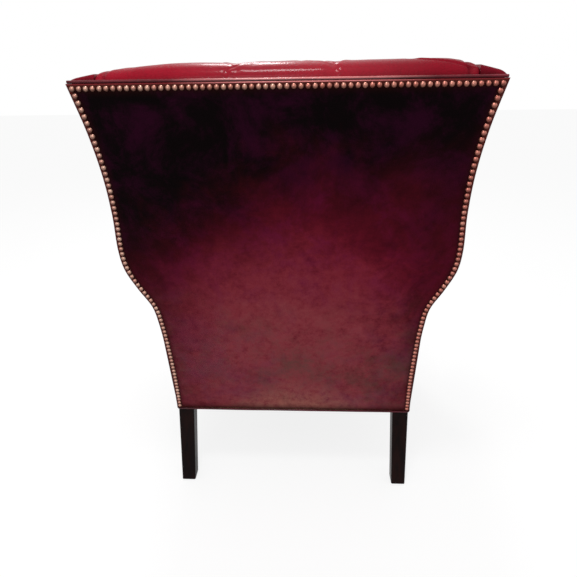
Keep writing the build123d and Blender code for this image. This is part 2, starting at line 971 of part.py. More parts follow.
def tuft_cutters():
    """Cutters for the pleats and the button pockets of the inside back."""
    places = tuft_places()
    half = tuft_spacing / 2
    cutters = []
    for u, v, row in places:
        pocket = back_plane.offset(pad_front - tuft_depth) * Pos(u, v) * Circle(button_radius + button_play)
        mouth = back_plane.offset(pad_front) * Pos(u, v) * Circle(tuft_radius)
        over = back_plane.offset(pad_front + cut_overrun) * Pos(u, v) * Circle(tuft_radius)
        cutters.append(loft([pocket, mouth, over], ruled=True))
        if row == 0:
            cutters.append(groove((u, v), (u, slope_length)))
        if row == tuft_rows - 1:
            cutters.append(groove((u, v), (u, v - tuft_row_gap)))
            continue
        for side in (-half, half):
            if abs(u + side) <= max(abs(place[0]) for place in places) + half:
                cutters.append(groove((u, v), (u + side, v - tuft_row_gap)))
    return cutters


def inside_back():
    """Tufted inside back, between the arms below and the wings above."""
    roll_angles = steps(0, math.pi / 2, roll_steps)
    heights = [
        *steps(pad_floor + gap, roll_centre_height, 3),
        *[roll_centre_height + roll_radius_back * math.sin(angle) for angle in roll_angles[1:]],
        *steps(roll_centre_height + roll_radius_front, top_height, back_steps),
    ]
    pad = loft([level(z) * make_face(inside_back_outline(z)) for z in heights], ruled=True)
    for cutter in tuft_cutters():
        pad = pad - cutter
    return solid(pad)


def back_buttons():
    """Covered buttons at the bottom of the tufts."""
    profile = make_face(
        [
            ThreePointArc(
                (0, button_height),
                (button_radius / math.sqrt(2), button_height / math.sqrt(2)),
                (button_radius, 0),
            ),
            Line((button_radius, 0), (0, 0)),
            Line((0, 0), (0, button_height)),
        ]
    )
    button = revolve(Plane.XZ * profile, Axis.Z)
    bottom = back_plane.offset(pad_front - tuft_depth)
    return [solid(bottom * Pos(u, v) * button) for u, v, row in tuft_places()]


def crown_roll():
    """Stuffed roll over the top rail, drawn in at the pleats."""
    half = wing_x(top_height, back_y(top_height, crest_depth), wing_line(top_height)[3]) - gap
    shoulder = half - crown_shoulder
    places = []
    for x in steps(-half, half, crown_steps):
        dip = (1 - crown_pleat_share) * math.exp(-(((abs(x) - tuft_spacing / 2) / crown_pleat_width) ** 2))
        fall = (1 - crown_end_share) * (max(abs(x) - shoulder, 0) / crown_shoulder) ** 2
        places.append((x, 1 - dip - fall))
    back = back_y(crown_bottom, crest_depth)
    front = back_y(crown_bottom, pad_front) - crown_lip
    step = 3 * crest_cord_radius
    middle = (back + front) / 2
    rear_x = (back + middle) / 2
    front_x = front + (middle - front) / 4
    sections = []
    for x, share in places:
        rise = crown_rise * share
        outline = [
            Line((back, 0), (back, step)),
            ThreePointArc((back, step), (rear_x, step + (rise - step) * crown_back_share), (middle, rise)),
            ThreePointArc((middle, rise), (front_x, rise * crown_front_share), (front, 0)),
            Line((front, 0), (back, 0)),
        ]
        place = Plane(origin=(x, 0, crown_bottom), x_dir=(0, 1, 0), z_dir=(1, 0, 0))
        sections.append(place * make_face(outline))
    return solid(loft(sections))


# Outside back, welts and nails
def outside_back():
    """Flat leather panel over the whole outside back."""
    panel = extrude(back_plane * outline_face(panel_bottom, top_height, 0), leather)
    return solid(panel & slab(panel_bottom, top_height))


def crest_welt():
    """Double cord along the top of the outside back."""
    cords = []
    radius = crest_cord_radius
    for rise, depth in ((1, 1), (1, 3 + gap / radius)):
        z = crown_bottom + radius * rise
        y = back_y(top_height, radius * depth)
        cords.append(rod((-half_top + radius, y, z), (half_top - radius, y, z), radius - gap / 2))
    return cords


def base_welt():
    """Cord round the bottom edge of the leather, in four lengths."""
    radius = base_cord_radius
    z = leg_clearance + radius
    back = back_y(z)
    front = front_y + radius
    trim = 2 * radius
    sides = rod(
        (side_x(front + trim), front + trim, z),
        (side_x(back - trim), back - trim, z),
        radius,
    )
    rear = rod((-half_foot, back, z), (half_foot, back, z), radius)
    across = rod((-side_x(front), front, z), (side_x(front), front, z), radius)
    return [sides, mirrored(sides), rear, across]


def nail():
    """Domed nail with its shank, head upwards on the level plane."""
    edge = nail_radius / math.sqrt(2)
    profile = make_face(
        [
            ThreePointArc((0, nail_dome), (edge, nail_dome / math.sqrt(2)), (nail_radius, 0)),
            Line((nail_radius, 0), (nail_shank_radius, 0)),
            Line((nail_shank_radius, 0), (nail_shank_radius, -nail_shank)),
            Line((nail_shank_radius, -nail_shank), (0, -nail_shank)),
            Line((0, -nail_shank), (0, nail_dome)),
        ]
    )
    return revolve(Plane.XZ * profile, Axis.Z)


def spaced(path, start_share=0.0, end_share=1.0):
    """Places along a path at the nail pitch."""
    count = max(2, round(path.length * (end_share - start_share) / nail_pitch) + 1)
    return [path @ share for share in steps(start_share, end_share, count)]


def back_nails():
    """Close nails up both sides and along the top of the outside back."""
    head = nail()
    outside = Plane(back_plane.origin, x_dir=(-1, 0, 0), z_dir=-back_plane.z_dir)
    top = slope_length - nail_inset
    low = (panel_bottom - leg_clearance) / math.cos(rake) + nail_inset
    points = []
    for v in steps(low, top, outline_steps):
        z = leg_clearance + v * math.cos(rake)
        tilt = math.atan((edge_x(z + nail_inset) - edge_x(z - nail_inset)) / (2 * nail_inset))
        points.append((edge_x(z) - nail_inset / math.cos(tilt), v))
    side = Wire(Spline(*points))
    row = Wire(Line((-points[-1][0], top), (points[-1][0], top)))
    places = [(point.X, point.Y) for point in spaced(side)]
    places += [(-x, y) for x, y in places]
    places += [(point.X, point.Y) for point in spaced(row)[1:-1]]
    return [solid(outside * Pos(x, y) * head) for x, y in places]


def arm_front_nails():
    """Close nails round the front panels of both arms."""
    head = nail()
    face = upright(front_y)
    nails = []
    for point in spaced(facing_path(nail_inset)):
        one = solid(face * Pos(point.X, point.Y) * head)
        nails += [one, mirrored(one)]
    return nails


# Loose seat cushion
cushion_front = cushion_front_inset
cushion_back = (deck_back - cushion_back_gap - front_y) / math.cos(slope)
deck_plane = Plane(
    origin=(0, front_y, cushion_bottom),
    x_dir=(1, 0, 0),
    z_dir=(0, math.sin(slope), math.cos(slope)),
)


def cushion_half(y):
    """Half width of the cushion, this far back along the deck."""
    return side_x(front_y + y * math.cos(slope), arm_wall + cushion_side_gap)


def cushion_face(z, inset=0.0, bow=0.0):
    """Level section of the cushion: sides bowed inwards between rounded corners."""
    front = cushion_front + inset
    back = cushion_back - inset
    front_half = cushion_half(front) - inset
    back_half = cushion_half(back) - inset
    middle = (front + back) / 2
    middle_half = (front_half + back_half) / 2
    edges = [
        ThreePointArc((-front_half, front), (0, front + bow), (front_half, front)),
        ThreePointArc((front_half, front), (middle_half - bow, middle), (back_half, back)),
        ThreePointArc((back_half, back), (0, back - bow), (-back_half, back)),
        ThreePointArc((-back_half, back), (bow - middle_half, middle), (-front_half, front)),
    ]
    face = make_face(edges)
    return deck_plane.offset(z) * fillet(face.vertices(), cushion_corner - min(inset, cushion_corner / 2))


def cushion_form(inset):
    """Crowned cushion, flat underneath, its sides drawn in between the seams."""
    low, high = inset, cushion_height - inset
    seam_bow = cushion_bow / 2
    body = loft(
        [
            cushion_face(low, inset, seam_bow),
            cushion_face((low + high) / 2, inset + cushion_draw, cushion_bow),
            cushion_face(high, inset, seam_bow),
        ]
    )
    crown = loft(
        [
            cushion_face(high + cushion_crown * rise, inset + cushion_crown_inset * share, seam_bow)
            for share, rise in cushion_crown_shares
        ]
    )
    return body + crown


def cushion_cover():
    """Leather cover, closed round the filling."""
    return solid(cushion_form(0) - cushion_form(cushion_leather))


def cushion_core():
    """Filling inside the cover."""
    return solid(cushion_form(cushion_leather + gap))


def cushion_welts():
    """Cords along the top and bottom seams."""
    cords = []
    radius = cushion_welt_radius
    for z in (radius, cushion_height):
        path = cushion_face(z, -radius - gap, cushion_bow / 2).wires()[0]
        start = Plane(origin=path @ 0, z_dir=path % 0)
        cords.append(solid(sweep(start * Circle(radius), path=path)))
    return cords


def cushion_zip():
    """Zip in the middle of the back side."""
    share = zip_length / (2 * cushion_half(cushion_back))
    y = cushion_back - cushion_draw - cushion_bow * (1 - share**2) + gap
    outline = deck_plane.offset((cushion_height - zip_height) / 2) * Pos(0, y + zip_thickness / 2)
    return solid(extrude(outline * Rectangle(zip_length, zip_thickness), zip_height))


def make_pieces():
    """Every piece of the chair under its own name, as a list of solids."""
    holes = dowels(dowel_radius + dowel_fit, dowel_length + 2 * gap)

    def drilled(shape):
        return solid(shape - holes)

    pieces = {}

    def pair(name, shape):
        pieces[name + "_left"] = [shape]
        pieces[name + "_right"] = [mirrored(shape)]

    post = rear_post()
    leg = front_leg()
    side_rail = side_seat_rail()
    pair("rear_post", drilled(post))
    pair("front_leg", drilled(leg))
    pair("seat_rail_side", drilled(side_rail))
    pieces["seat_rail_front"] = [drilled(front_seat_rail())]
    pieces["seat_rail_rear"] = [drilled(rear_seat_rail())]
    pieces["corner_blocks"] = corner_blocks(leg, post, side_rail)
    pieces["crest_rail"] = [drilled(crest_rail())]
    pieces["lower_back_rail"] = [drilled(lower_back_rail())]
    pair("arm_stump", drilled(arm_stump()))
    pair("arm_rail", drilled(arm_rail()))
    pair("arm_tack_rail", tack_rail())
    pair("wing_stile", wing_stile())
    pair("wing_post", wing_post())
    pair("wing_rail", solid(wing_rail() - wing_post()))
    pieces["frame_dowels"] = dowels(dowel_radius, dowel_length)
    glides = [solid(glide(front_foot)), solid(glide(rear_foot))]
    pieces["foot_glides"] = glides + [mirrored(one) for one in glides]

    pieces["seat_springs"] = [spring(x) for x in spring_places()]
    clip_front = frame_y + spring_seat
    clip_back = back_y(rail_top, leather + gap + rail_thickness) + clip_length / 2
    pieces["spring_clips"] = [spring_clip(x, y) for x in spring_places() for y in (clip_front, clip_back)]
    pieces["seat_burlap"] = [burlap()]
    pieces["deck_pad"] = [deck_pad()]
    pieces["deck_cover"] = [deck_cover()]
    pieces["front_border"] = [front_border()]
    pieces["dust_cover"] = [dust_cover([leg, mirrored(leg), post, mirrored(post)])]
    pieces["back_webbing"] = back_webbing()

    pair("inside_arm", inside_arm())
    pair("outside_arm", outside_arm())
    pair("arm_front", arm_front())
    pair("inside_wing", inside_wing())
    pair("outside_wing", outside_wing())
    pieces["inside_back"] = [inside_back()]
    pieces["back_buttons"] = back_buttons()
    pieces["crown_roll"] = [crown_roll()]
    pieces["outside_back"] = [outside_back()]
    pieces["crest_welt"] = crest_welt()
    pieces["base_welt"] = base_welt()
    pieces["back_nails"] = back_nails()
    pieces["arm_front_nails"] = arm_front_nails()

    pieces["seat_cushion_cover"] = [cushion_cover()]
    pieces["seat_cushion_core"] = [cushion_core()]
    pieces["seat_cushion_welts"] = cushion_welts()
    pieces["seat_cushion_zip"] = [cushion_zip()]
    return pieces


os.makedirs("parts", exist_ok=True)
for name, solids in make_pieces().items():
    shape = solids[0] if len(solids) == 1 else Compound(children=solids)
    shape.label = name
    export_step(shape, f"parts/{name}.step")
    print(name, len(solids))
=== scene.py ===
import math

import bmesh
import bpy
import numpy as np
from bpy.props import FloatProperty, FloatVectorProperty, IntProperty, PointerProperty
from bpy.types import Operator, Panel, PropertyGroup
from mathutils import Matrix, Vector
from mathutils.bvhtree import BVHTree


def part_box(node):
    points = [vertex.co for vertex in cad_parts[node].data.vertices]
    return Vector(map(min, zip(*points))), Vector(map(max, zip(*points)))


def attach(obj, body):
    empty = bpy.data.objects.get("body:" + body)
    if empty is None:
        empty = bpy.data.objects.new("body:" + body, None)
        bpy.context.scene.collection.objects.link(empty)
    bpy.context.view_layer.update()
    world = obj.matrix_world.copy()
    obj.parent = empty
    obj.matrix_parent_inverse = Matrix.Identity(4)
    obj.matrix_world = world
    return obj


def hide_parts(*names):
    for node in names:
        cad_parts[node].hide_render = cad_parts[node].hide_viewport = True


bl_info = {
    "name": "Wing armchair",
    "version": (1, 0, 0),
    "blender": (4, 5, 0),
    "location": "3D View > Sidebar > Armchair",
    "description": "Upholsters, nails and polishes a leather wing armchair on its packed frame",
    "category": "Add Mesh",
}

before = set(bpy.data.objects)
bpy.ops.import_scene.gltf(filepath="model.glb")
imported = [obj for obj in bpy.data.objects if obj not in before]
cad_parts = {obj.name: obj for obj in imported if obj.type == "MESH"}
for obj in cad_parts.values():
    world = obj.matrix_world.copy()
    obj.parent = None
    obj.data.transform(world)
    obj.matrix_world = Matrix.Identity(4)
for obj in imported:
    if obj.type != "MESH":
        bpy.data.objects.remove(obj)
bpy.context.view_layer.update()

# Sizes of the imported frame, in metres
LEG_CLEARANCE = 0.226
BACK_RISE = 0.869
RAKE = math.radians(11.86)
HALF_TOP = 0.3975
HALF_FRONT = HALF_TOP * 0.936
DEPTH = 0.806
LEATHER = 0.003
GAP = 0.0003
FRAME_FRONT = 0.0373
PAD_BACK = 0.0416
PAD_FRONT = 0.1166
FACING = 0.016
BORDER = 0.012
ARM_WALL = 0.085
ARM_FRAME = 0.035
RAIL_TOP = 0.314
ARM_RAIL_TOP = 0.555
ROLL_HEIGHT = 0.588
ROLL_FRONT, ROLL_BACK = 0.056, 0.047
ROLL_INSET_FRONT, ROLL_INSET_BACK = 0.025, 0.034
WING_REACH = 0.280
WING_FLARE = 0.012
WING_WALL, WING_TOP_WALL = 0.062, 0.050
WING_LIFT = 0.045
CREST_DEPTH = 0.0123
NAIL_PITCH, NAIL_INSET, NAIL_DOME = 0.0127, 0.009, 0.0034
TUFT_SPACING, TUFT_ROW_GAP, TUFT_TOP_DROP, TUFT_ROWS = 0.182, 0.118, 0.130, 4
TUFT_DEPTH = 0.020
SLOPE = math.radians(3)
CUSHION_HEIGHT = 0.112
PAD_FLOOR, DECK_TOP, CUSHION_BOTTOM = 0.3256, 0.3616, 0.3642

# How thick the leathers and cloths are, in metres
PANEL_HIDE, SIDE_HIDE, TUFTED_HIDE, BORDER_HIDE = 0.0012, 0.0014, 0.0015, 0.004
TWILL, JUTE, CAMBRIC, ZIP_TAPE = 0.0014, 0.0011, 0.0006, 0.0006
CUSHION_CORD = 0.0038
CUSHION_CORNER = 0.036
CUSHION_SLACK = 0.011
ZIP_HALF, TOOTH_PITCH = 0.19, 0.0022
STRAP_HALF = 0.025
# How near two points of a seam are to count as one
SEAM = 0.00002
MILLIMETRE = 0.001
RIPPLE_WAVES = 8

# How many points run round a wing's nose and along its inside, up an inside arm and round its roll
NOSE_POINTS, WING_POINTS = 20, 33
ARM_POINTS, ROLL_POINTS = 40, 61

# Share of the back's height, and of its top's width there
OUTLINE = (
    (0.00, 0.834),
    (0.14, 0.821),
    (0.28, 0.820),
    (0.36, 0.826),
    (0.42, 0.843),
    (0.48, 0.904),
    (0.54, 0.953),
    (0.60, 0.962),
    (0.70, 0.943),
    (0.80, 0.940),
    (0.90, 0.960),
    (1.00, 1.000),
)
# Share of the back's height, and of the wing's reach there
WING_SHARES = (
    (0.36, 0.70),
    (0.48, 0.80),
    (0.56, 0.88),
    (0.64, 0.97),
    (0.74, 1.00),
    (0.82, 0.96),
    (0.90, 0.84),
    (0.96, 0.66),
    (1.00, 0.45),
)
TAU = 2 * math.pi

SLOPE_LENGTH = BACK_RISE / math.cos(RAKE)
TOP = LEG_CLEARANCE + BACK_RISE
HALF_FOOT = HALF_TOP * OUTLINE[0][1]
FRONT_Y = NAIL_DOME - DEPTH / 2
BACK_FOOT_Y = DEPTH / 2 - BACK_RISE * math.tan(RAKE) - NAIL_DOME
SPLAY = (HALF_FRONT - HALF_FOOT) / (BACK_FOOT_Y - FRONT_Y)
FRAME_Y = FRONT_Y + FACING
PANEL_BOTTOM = LEG_CLEARANCE + 0.0063
CROWN_BOTTOM = TOP + GAP


def smooth(table, share):
    """Values of a smooth curve through the pairs of a table."""
    keys, values = np.array(table, float).T
    slopes = np.gradient(values)
    slopes[1:-1] = (values[2:] - values[:-2]) / (keys[2:] - keys[:-2])
    slopes[0] = (values[1] - values[0]) / (keys[1] - keys[0])
    slopes[-1] = (values[-1] - values[-2]) / (keys[-1] - keys[-2])
    share = np.clip(share, keys[0], keys[-1])
    cell = np.clip(np.searchsorted(keys, share, side="right") - 1, 0, len(keys) - 2)
    run = keys[cell + 1] - keys[cell]
    t = (share - keys[cell]) / run
    return (
        (2 * t**3 - 3 * t**2 + 1) * values[cell]
        + (t**3 - 2 * t**2 + t) * run * slopes[cell]
        + (3 * t**2 - 2 * t**3) * values[cell + 1]
        + (t**3 - t**2) * run * slopes[cell + 1]
    )


def ease(value, start, end):
    """Smooth step of a value from 0 at start to 1 at end."""
    t = np.clip((value - start) / (end - start), 0, 1)
    return t * t * (3 - 2 * t)


def back_y(z, depth=0.0):
    """Depth of a plane set in from the outside back at height z."""
    return BACK_FOOT_Y + (z - LEG_CLEARANCE) * math.tan(RAKE) - depth / math.cos(RAKE)


def edge_x(z):
    """Half the width of the back at height z."""
    return HALF_TOP * smooth(OUTLINE, (z - LEG_CLEARANCE) / BACK_RISE)


def side_x(y, inward=0.0):
    """Where a plane set in from the outside arm lies at depth y."""
    return HALF_FOOT + (BACK_FOOT_Y - y) * SPLAY - inward


def back_point(across, up, deep):
    """Points given across the back, up its slope and forwards from its outer face."""
    across, up, deep = np.broadcast_arrays(across, up, deep)
    y = BACK_FOOT_Y + up * math.sin(RAKE) - deep * math.cos(RAKE)
    z = LEG_CLEARANCE + up * math.cos(RAKE) + deep * math.sin(RAKE)
    return np.stack([across, y, z], axis=-1)


def roll_section(y):
    """Centre and radius of the left arm's roll at depth y."""
    share = (BACK_FOOT_Y - y) / (BACK_FOOT_Y - FRONT_Y)
    radius = ROLL_BACK + (ROLL_FRONT - ROLL_BACK) * share
    return side_x(y, ROLL_INSET_BACK + (ROLL_INSET_FRONT - ROLL_INSET_BACK) * share), radius


def wing_line(z):
    """Outer x at the back edge, front tip y and thickness of the left wing at height z."""
    share = (z - LEG_CLEARANCE) / BACK_RISE
    tip = back_y(z) - WING_REACH * smooth(WING_SHARES, share)
    wall = WING_WALL + (WING_TOP_WALL - WING_WALL) * np.minimum(share, 1)
    return HALF_TOP * smooth(OUTLINE, share), tip, wall


def wing_x(z, y, inward=0.0):
    """Where a surface set in from the outside wing lies at height z and depth y."""
    return wing_line(z)[0] + WING_FLARE * (back_y(z) - y) / WING_REACH - inward


def ripples(points, size, seed):
    """Even random waves over points, between about -1 and 1."""
    draw = np.random.default_rng(seed)
    ways = draw.normal(size=(RIPPLE_WAVES, 3))
    ways /= np.linalg.norm(ways, axis=1, keepdims=True)
    lengths = size * draw.uniform(0.7, 1.5, RIPPLE_WAVES)
    phases = draw.uniform(0, TAU, RIPPLE_WAVES)
    return np.sin(points @ (ways / lengths[:, None]).T * TAU + phases).mean(axis=-1) * 1.7


def normals_of(points, inside, ring=False):
    """Unit normals of a net of points, away from a point inside it."""
    if ring:
        across = np.roll(points, -1, axis=1) - np.roll(points, 1, axis=1)
    else:
        across = np.gradient(points, axis=1)
    normals = np.cross(across, np.gradient(points, axis=0))
    normals /= np.maximum(np.linalg.norm(normals, axis=-1, keepdims=True), 1e-9)
    if np.sum(normals * (points - inside)) < 0:
        normals = -normals
    return normals


def along(x):
    """Points on a line across the chair."""
    return np.stack([x, 0 * x, 0 * x], axis=-1)


class Form:
    """Points, faces and fold shading of one piece, put together from nets."""

    def __init__(self):
        self.points = []
        self.folds = []
        self.faces = []
        self.count = 0

    def net(self, points, fold=0.0, ring=False, loop=False, ends=False):
        """Adds rows of points. A ring joins each row's ends, a loop joins the last row to the first."""
        rows, columns = points.shape[:2]
        index = np.arange(rows * columns).reshape(rows, columns) + self.count
        first, last = index[0], index[-1]
        if ring:
            index = np.column_stack([index, index[:, :1]])
        if loop:
            index = np.vstack([index, index[:1]])
        corners = (index[:-1, :-1], index[:-1, 1:], index[1:, 1:], index[1:, :-1])
        self.faces += np.stack(corners, axis=-1).reshape(-1, 4).tolist()
        self.points.append(points.reshape(-1, 3))
        self.folds.append(np.broadcast_to(fold, (rows, columns)).reshape(-1))
        self.count += rows * columns
        if ends:
            for row in (first, last):
                self.fan(row)
        return self

    def fan(self, row):
        """Closes a ring of points to its middle."""
        points = np.concatenate(self.points)
        self.points.append(points[row].mean(axis=0)[None])
        # The middle takes full fold shading, painted shade at the closed end
        self.folds.append(np.ones(1))
        for k in range(len(row)):
            self.faces.append([int(row[k]), int(row[(k + 1) % len(row)]), self.count])
        self.count += 1

    def mirrored(self):
        """The same form on the other side of the chair."""
        other = Form()
        other.points = [points * (-1, 1, 1) for points in self.points]
        other.folds, other.faces, other.count = self.folds, self.faces, self.count
        return other

    def mesh(self, name, merge=0.0):
        """Mesh with smooth faces turned outwards."""
        mesh = bpy.data.meshes.new(name)
        mesh.from_pydata(np.concatenate(self.points).tolist(), [], self.faces)
        fold = mesh.attributes.new("fold", "FLOAT", "POINT")
        fold.data.foreach_set("value", np.concatenate(self.folds).astype(np.float32))
        work = bmesh.new()
        work.from_mesh(mesh)
        if merge:
            bmesh.ops.remove_doubles(work, verts=work.verts, dist=merge)
        bmesh.ops.recalc_face_normals(work, faces=work.faces)
        work.to_mesh(mesh)
        work.free()
        mesh.polygons.foreach_set("use_smooth", np.ones(len(mesh.polygons), bool))
        return mesh


def flat_cut(width, length, area, rests_on):
    """Facts of a stretched sheet: its flat size without turned-in margins, and what carries it."""
    area = min(area, width * length)
    return {"flat": (width, length), "area": area, "held": "stretched", "rests_on": rests_on}


def cut_of(net, rests_on):
    """Facts of a sheet from its net: its widest row, longest column and area."""
    down, along = np.diff(net, axis=0), np.diff(net, axis=1)
    width = float(np.linalg.norm(along, axis=-1).sum(axis=1).max())
    length = float(np.linalg.norm(down, axis=-1).sum(axis=0).max())
    area = float(np.linalg.norm(np.cross(down[:, :-1], along[:-1]), axis=-1).sum())
    return flat_cut(width, length, area, rests_on)


def add_piece(name, mesh, material, slot, body="chair", replaced=(), fill=None, thickness=None, sheet=None):
    """Links one piece, dresses it and sets it on its body."""
    piece = bpy.data.objects.new(name, mesh)
    bpy.context.scene.collection.objects.link(piece)
    mesh.materials.append(material)
    if thickness:
        skin = piece.modifiers.new("Thickness", "SOLIDIFY")
        skin.thickness = thickness
        skin.offset = -1
    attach(piece, body)
    if replaced:
        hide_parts(*replaced)
    return piece


def add_pair(name, form, material, slot, node, merge=0.0, **facts):
    """Left piece and its mirror image, each for its own CAD node."""
    for side, one in (("left", form), ("right", form.mirrored())):
        title = f"{name}_{side}"
        mesh = one.mesh(title, merge)
        add_piece(title, mesh, material, slot, replaced=[f"{node}_{side}"], **facts)


def both(*names):
    """Left and right of each name."""
    return [f"{name}_{side}" for name in names for side in ("left", "right")]


def circles(sides, side, rise, flat=1.0):
    """Unit circles between two directions, one for each point of a path."""
    angles = np.linspace(0, TAU, sides, endpoint=False)[None, :, None]
    return np.cos(angles) * side[:, None] + flat * np.sin(angles) * rise


def tube(path, radius, sides, up=(0, 0, 1), flat=1.0):
    """Rings of points round a path."""
    path = np.asarray(path, float)
    run = np.gradient(path, axis=0)
    run /= np.linalg.norm(run, axis=1, keepdims=True)
    side = np.cross(run, np.asarray(up, float))
    side /= np.linalg.norm(side, axis=1, keepdims=True)
    rise = np.cross(side, run)
    radius = np.broadcast_to(radius, len(path))[:, None, None]
    return path[:, None] + radius * circles(sides, side, rise[:, None], flat)


def closed_tube(path, radius, sides, up):
    """Rings of points round a closed path that lies square to up."""
    run = np.roll(path, -1, axis=0) - np.roll(path, 1, axis=0)
    run /= np.linalg.norm(run, axis=1, keepdims=True)
    radius = np.broadcast_to(radius, len(path))[:, None, None]
    return path[:, None] + radius * circles(sides, np.cross(run, up), up)


def softened(path, rounds):
    """A closed path with its corners eased."""
    for _ in range(rounds):
        path = (np.roll(path, 1, axis=0) + 2 * path + np.roll(path, -1, axis=0)) / 4
    return path


def resampled(path, step, loop=False):
    """Evenly spaced points along a path of straight runs."""
    path = np.asarray(path, float)
    if loop:
        path = np.vstack([path, path[:1]])
    lengths = np.concatenate([[0], np.cumsum(np.linalg.norm(np.diff(path, axis=0), axis=1))])
    count = max(3, round(lengths[-1] / step))
    marks = np.linspace(0, lengths[-1], count + 1)
    if loop:
        marks = marks[:-1]
    return np.stack([np.interp(marks, lengths, path[:, k]) for k in range(path.shape[1])], axis=-1)


# Finishes
class Strand:
    """One output of a node, on which sums are written as on numbers."""

    def __init__(self, nodes, socket):
        self.nodes = nodes
        self.socket = socket

    def sum(self, operation, first, second):
        return self.nodes.node("ShaderNodeMath", {"operation": operation}, {0: first, 1: second})

    def __add__(self, other):
        return self.sum("ADD", self, other)

    def __sub__(self, other):
        return self.sum("SUBTRACT", self, other)

    def __rsub__(self, other):
        return self.sum("SUBTRACT", other, self)

    def __mul__(self, other):
        return self.sum("MULTIPLY", self, other)

    def __truediv__(self, other):
        return self.sum("DIVIDE", self, other)

    __radd__ = __add__
    __rmul__ = __mul__

    def least(self, other):
        return self.sum("MINIMUM", self, other)

    def most(self, other):
        return self.sum("MAXIMUM", self, other)

    def share(self, most=1.0):
        """Kept from 0 to a most."""
        return self.most(0.0).least(most)

    def between(self, low, high):
        """Smooth step from 0 at low to 1 at high."""
        step = {"interpolation_type": "SMOOTHSTEP"}
        ends = {"Value": self, "From Min": low, "From Max": high}
        return self.nodes.node("ShaderNodeMapRange", step, ends)


class Nodes:
    """The nodes of one finish, or of the room."""

    def __init__(self, tree):
        self.tree = tree
        tree.nodes.clear()

    def node(self, kind, settings=None, inputs=None, output=0):
        """Adds a node: its settings first, then the values and links of its sockets."""
        node = self.tree.nodes.new(kind)
        for name, value in (settings or {}).items():
            setattr(node, name, value)
        for name, value in (inputs or {}).items():
            if isinstance(value, Strand):
                self.tree.links.new(value.socket, node.inputs[name])
            else:
                node.inputs[name].default_value = value
        return None if output is None else Strand(self, node.outputs[output])

    def backdrop(self):
        """1 for what the camera sees, straight, mirrored or through glass, else 0."""
        rays = [f"Is {kind} Ray" for kind in ("Camera", "Glossy", "Transmission")]
        seen, mirrored, through = (self.node("ShaderNodeLightPath", output=ray) for ray in rays)
        return seen.most(mirrored).most(through)


class Finish(Nodes):
    """One procedural material and its nodes."""

    def __init__(self, name):
        self.material = bpy.data.materials.new(name)
        self.material.use_nodes = True
        super().__init__(self.material.node_tree)
        self.place = self.node("ShaderNodeTexCoord", output="Object")

    def axes(self):
        """The three coordinates of the place."""
        apart = self.node("ShaderNodeSeparateXYZ", inputs={0: self.place})
        outputs = apart.socket.node.outputs
        return [Strand(self, socket) for socket in outputs]

    def noise(self, scale, detail=4, rough=0.55, place=None, warp=0.0):
        inputs = {"Vector": place or self.place, "Scale": scale, "Detail": detail}
        inputs.update({"Roughness": rough, "Distortion": warp})
        return self.node("ShaderNodeTexNoise", inputs=inputs)

    def cells(self, scale, feature="F1", place=None):
        inputs = {"Vector": place or self.place, "Scale": scale}
        return self.node("ShaderNodeTexVoronoi", {"feature": feature}, inputs)

    def stretched(self, scale):
        """The place with each axis scaled."""
        return self.node("ShaderNodeMapping", inputs={"Vector": self.place, "Scale": scale})

    def blend(self, share, first, second):
        """Mix of two colours."""
        return self.node("ShaderNodeMix", {"data_type": "RGBA"}, {0: share, 6: first, 7: second}, output=2)

    def attribute(self, name):
        return self.node("ShaderNodeAttribute", {"attribute_name": name}, output="Fac")

    def bump(self, height, distance, under=None):
        inputs = {"Height": height, "Distance": distance, "Strength": 1.0}
        if under:
            inputs["Normal"] = under
        return self.node("ShaderNodeBump", inputs=inputs)

    def surface(self, **values):
        """Closes the finish with its shader."""
        named = {name.replace("_", " "): value for name, value in values.items()}
        shader = self.node("ShaderNodeBsdfPrincipled", inputs=named, output="BSDF")
        self.node("ShaderNodeOutputMaterial", inputs={"Surface": shader}, output=None)
        return self.material


def solid(colour):
    """Colour with full opacity."""
    return (*colour[:3], 1.0)


def scaled(colour, share):
    """A colour made darker or lighter."""
    return (colour[0] * share, colour[1] * share, colour[2] * share, 1.0)


def leather_grain(finish):
    """Pebbled grain, fine creases and pores of the hide."""
    pebbles = finish.cells(520)
    pores = finish.noise(1500, 2, 0.5)
    creases = finish.cells(90, "DISTANCE_TO_EDGE")
    lines = 1 - creases.between(0.0, 0.06)
    crease_depth, pebble_height = 0.00012, 0.00016
    coarse = finish.bump(lines * -1.0, crease_depth)
    fine = finish.bump(pebbles * 0.7 + pores * 0.3, pebble_height, under=coarse)
    return fine, pebbles, lines


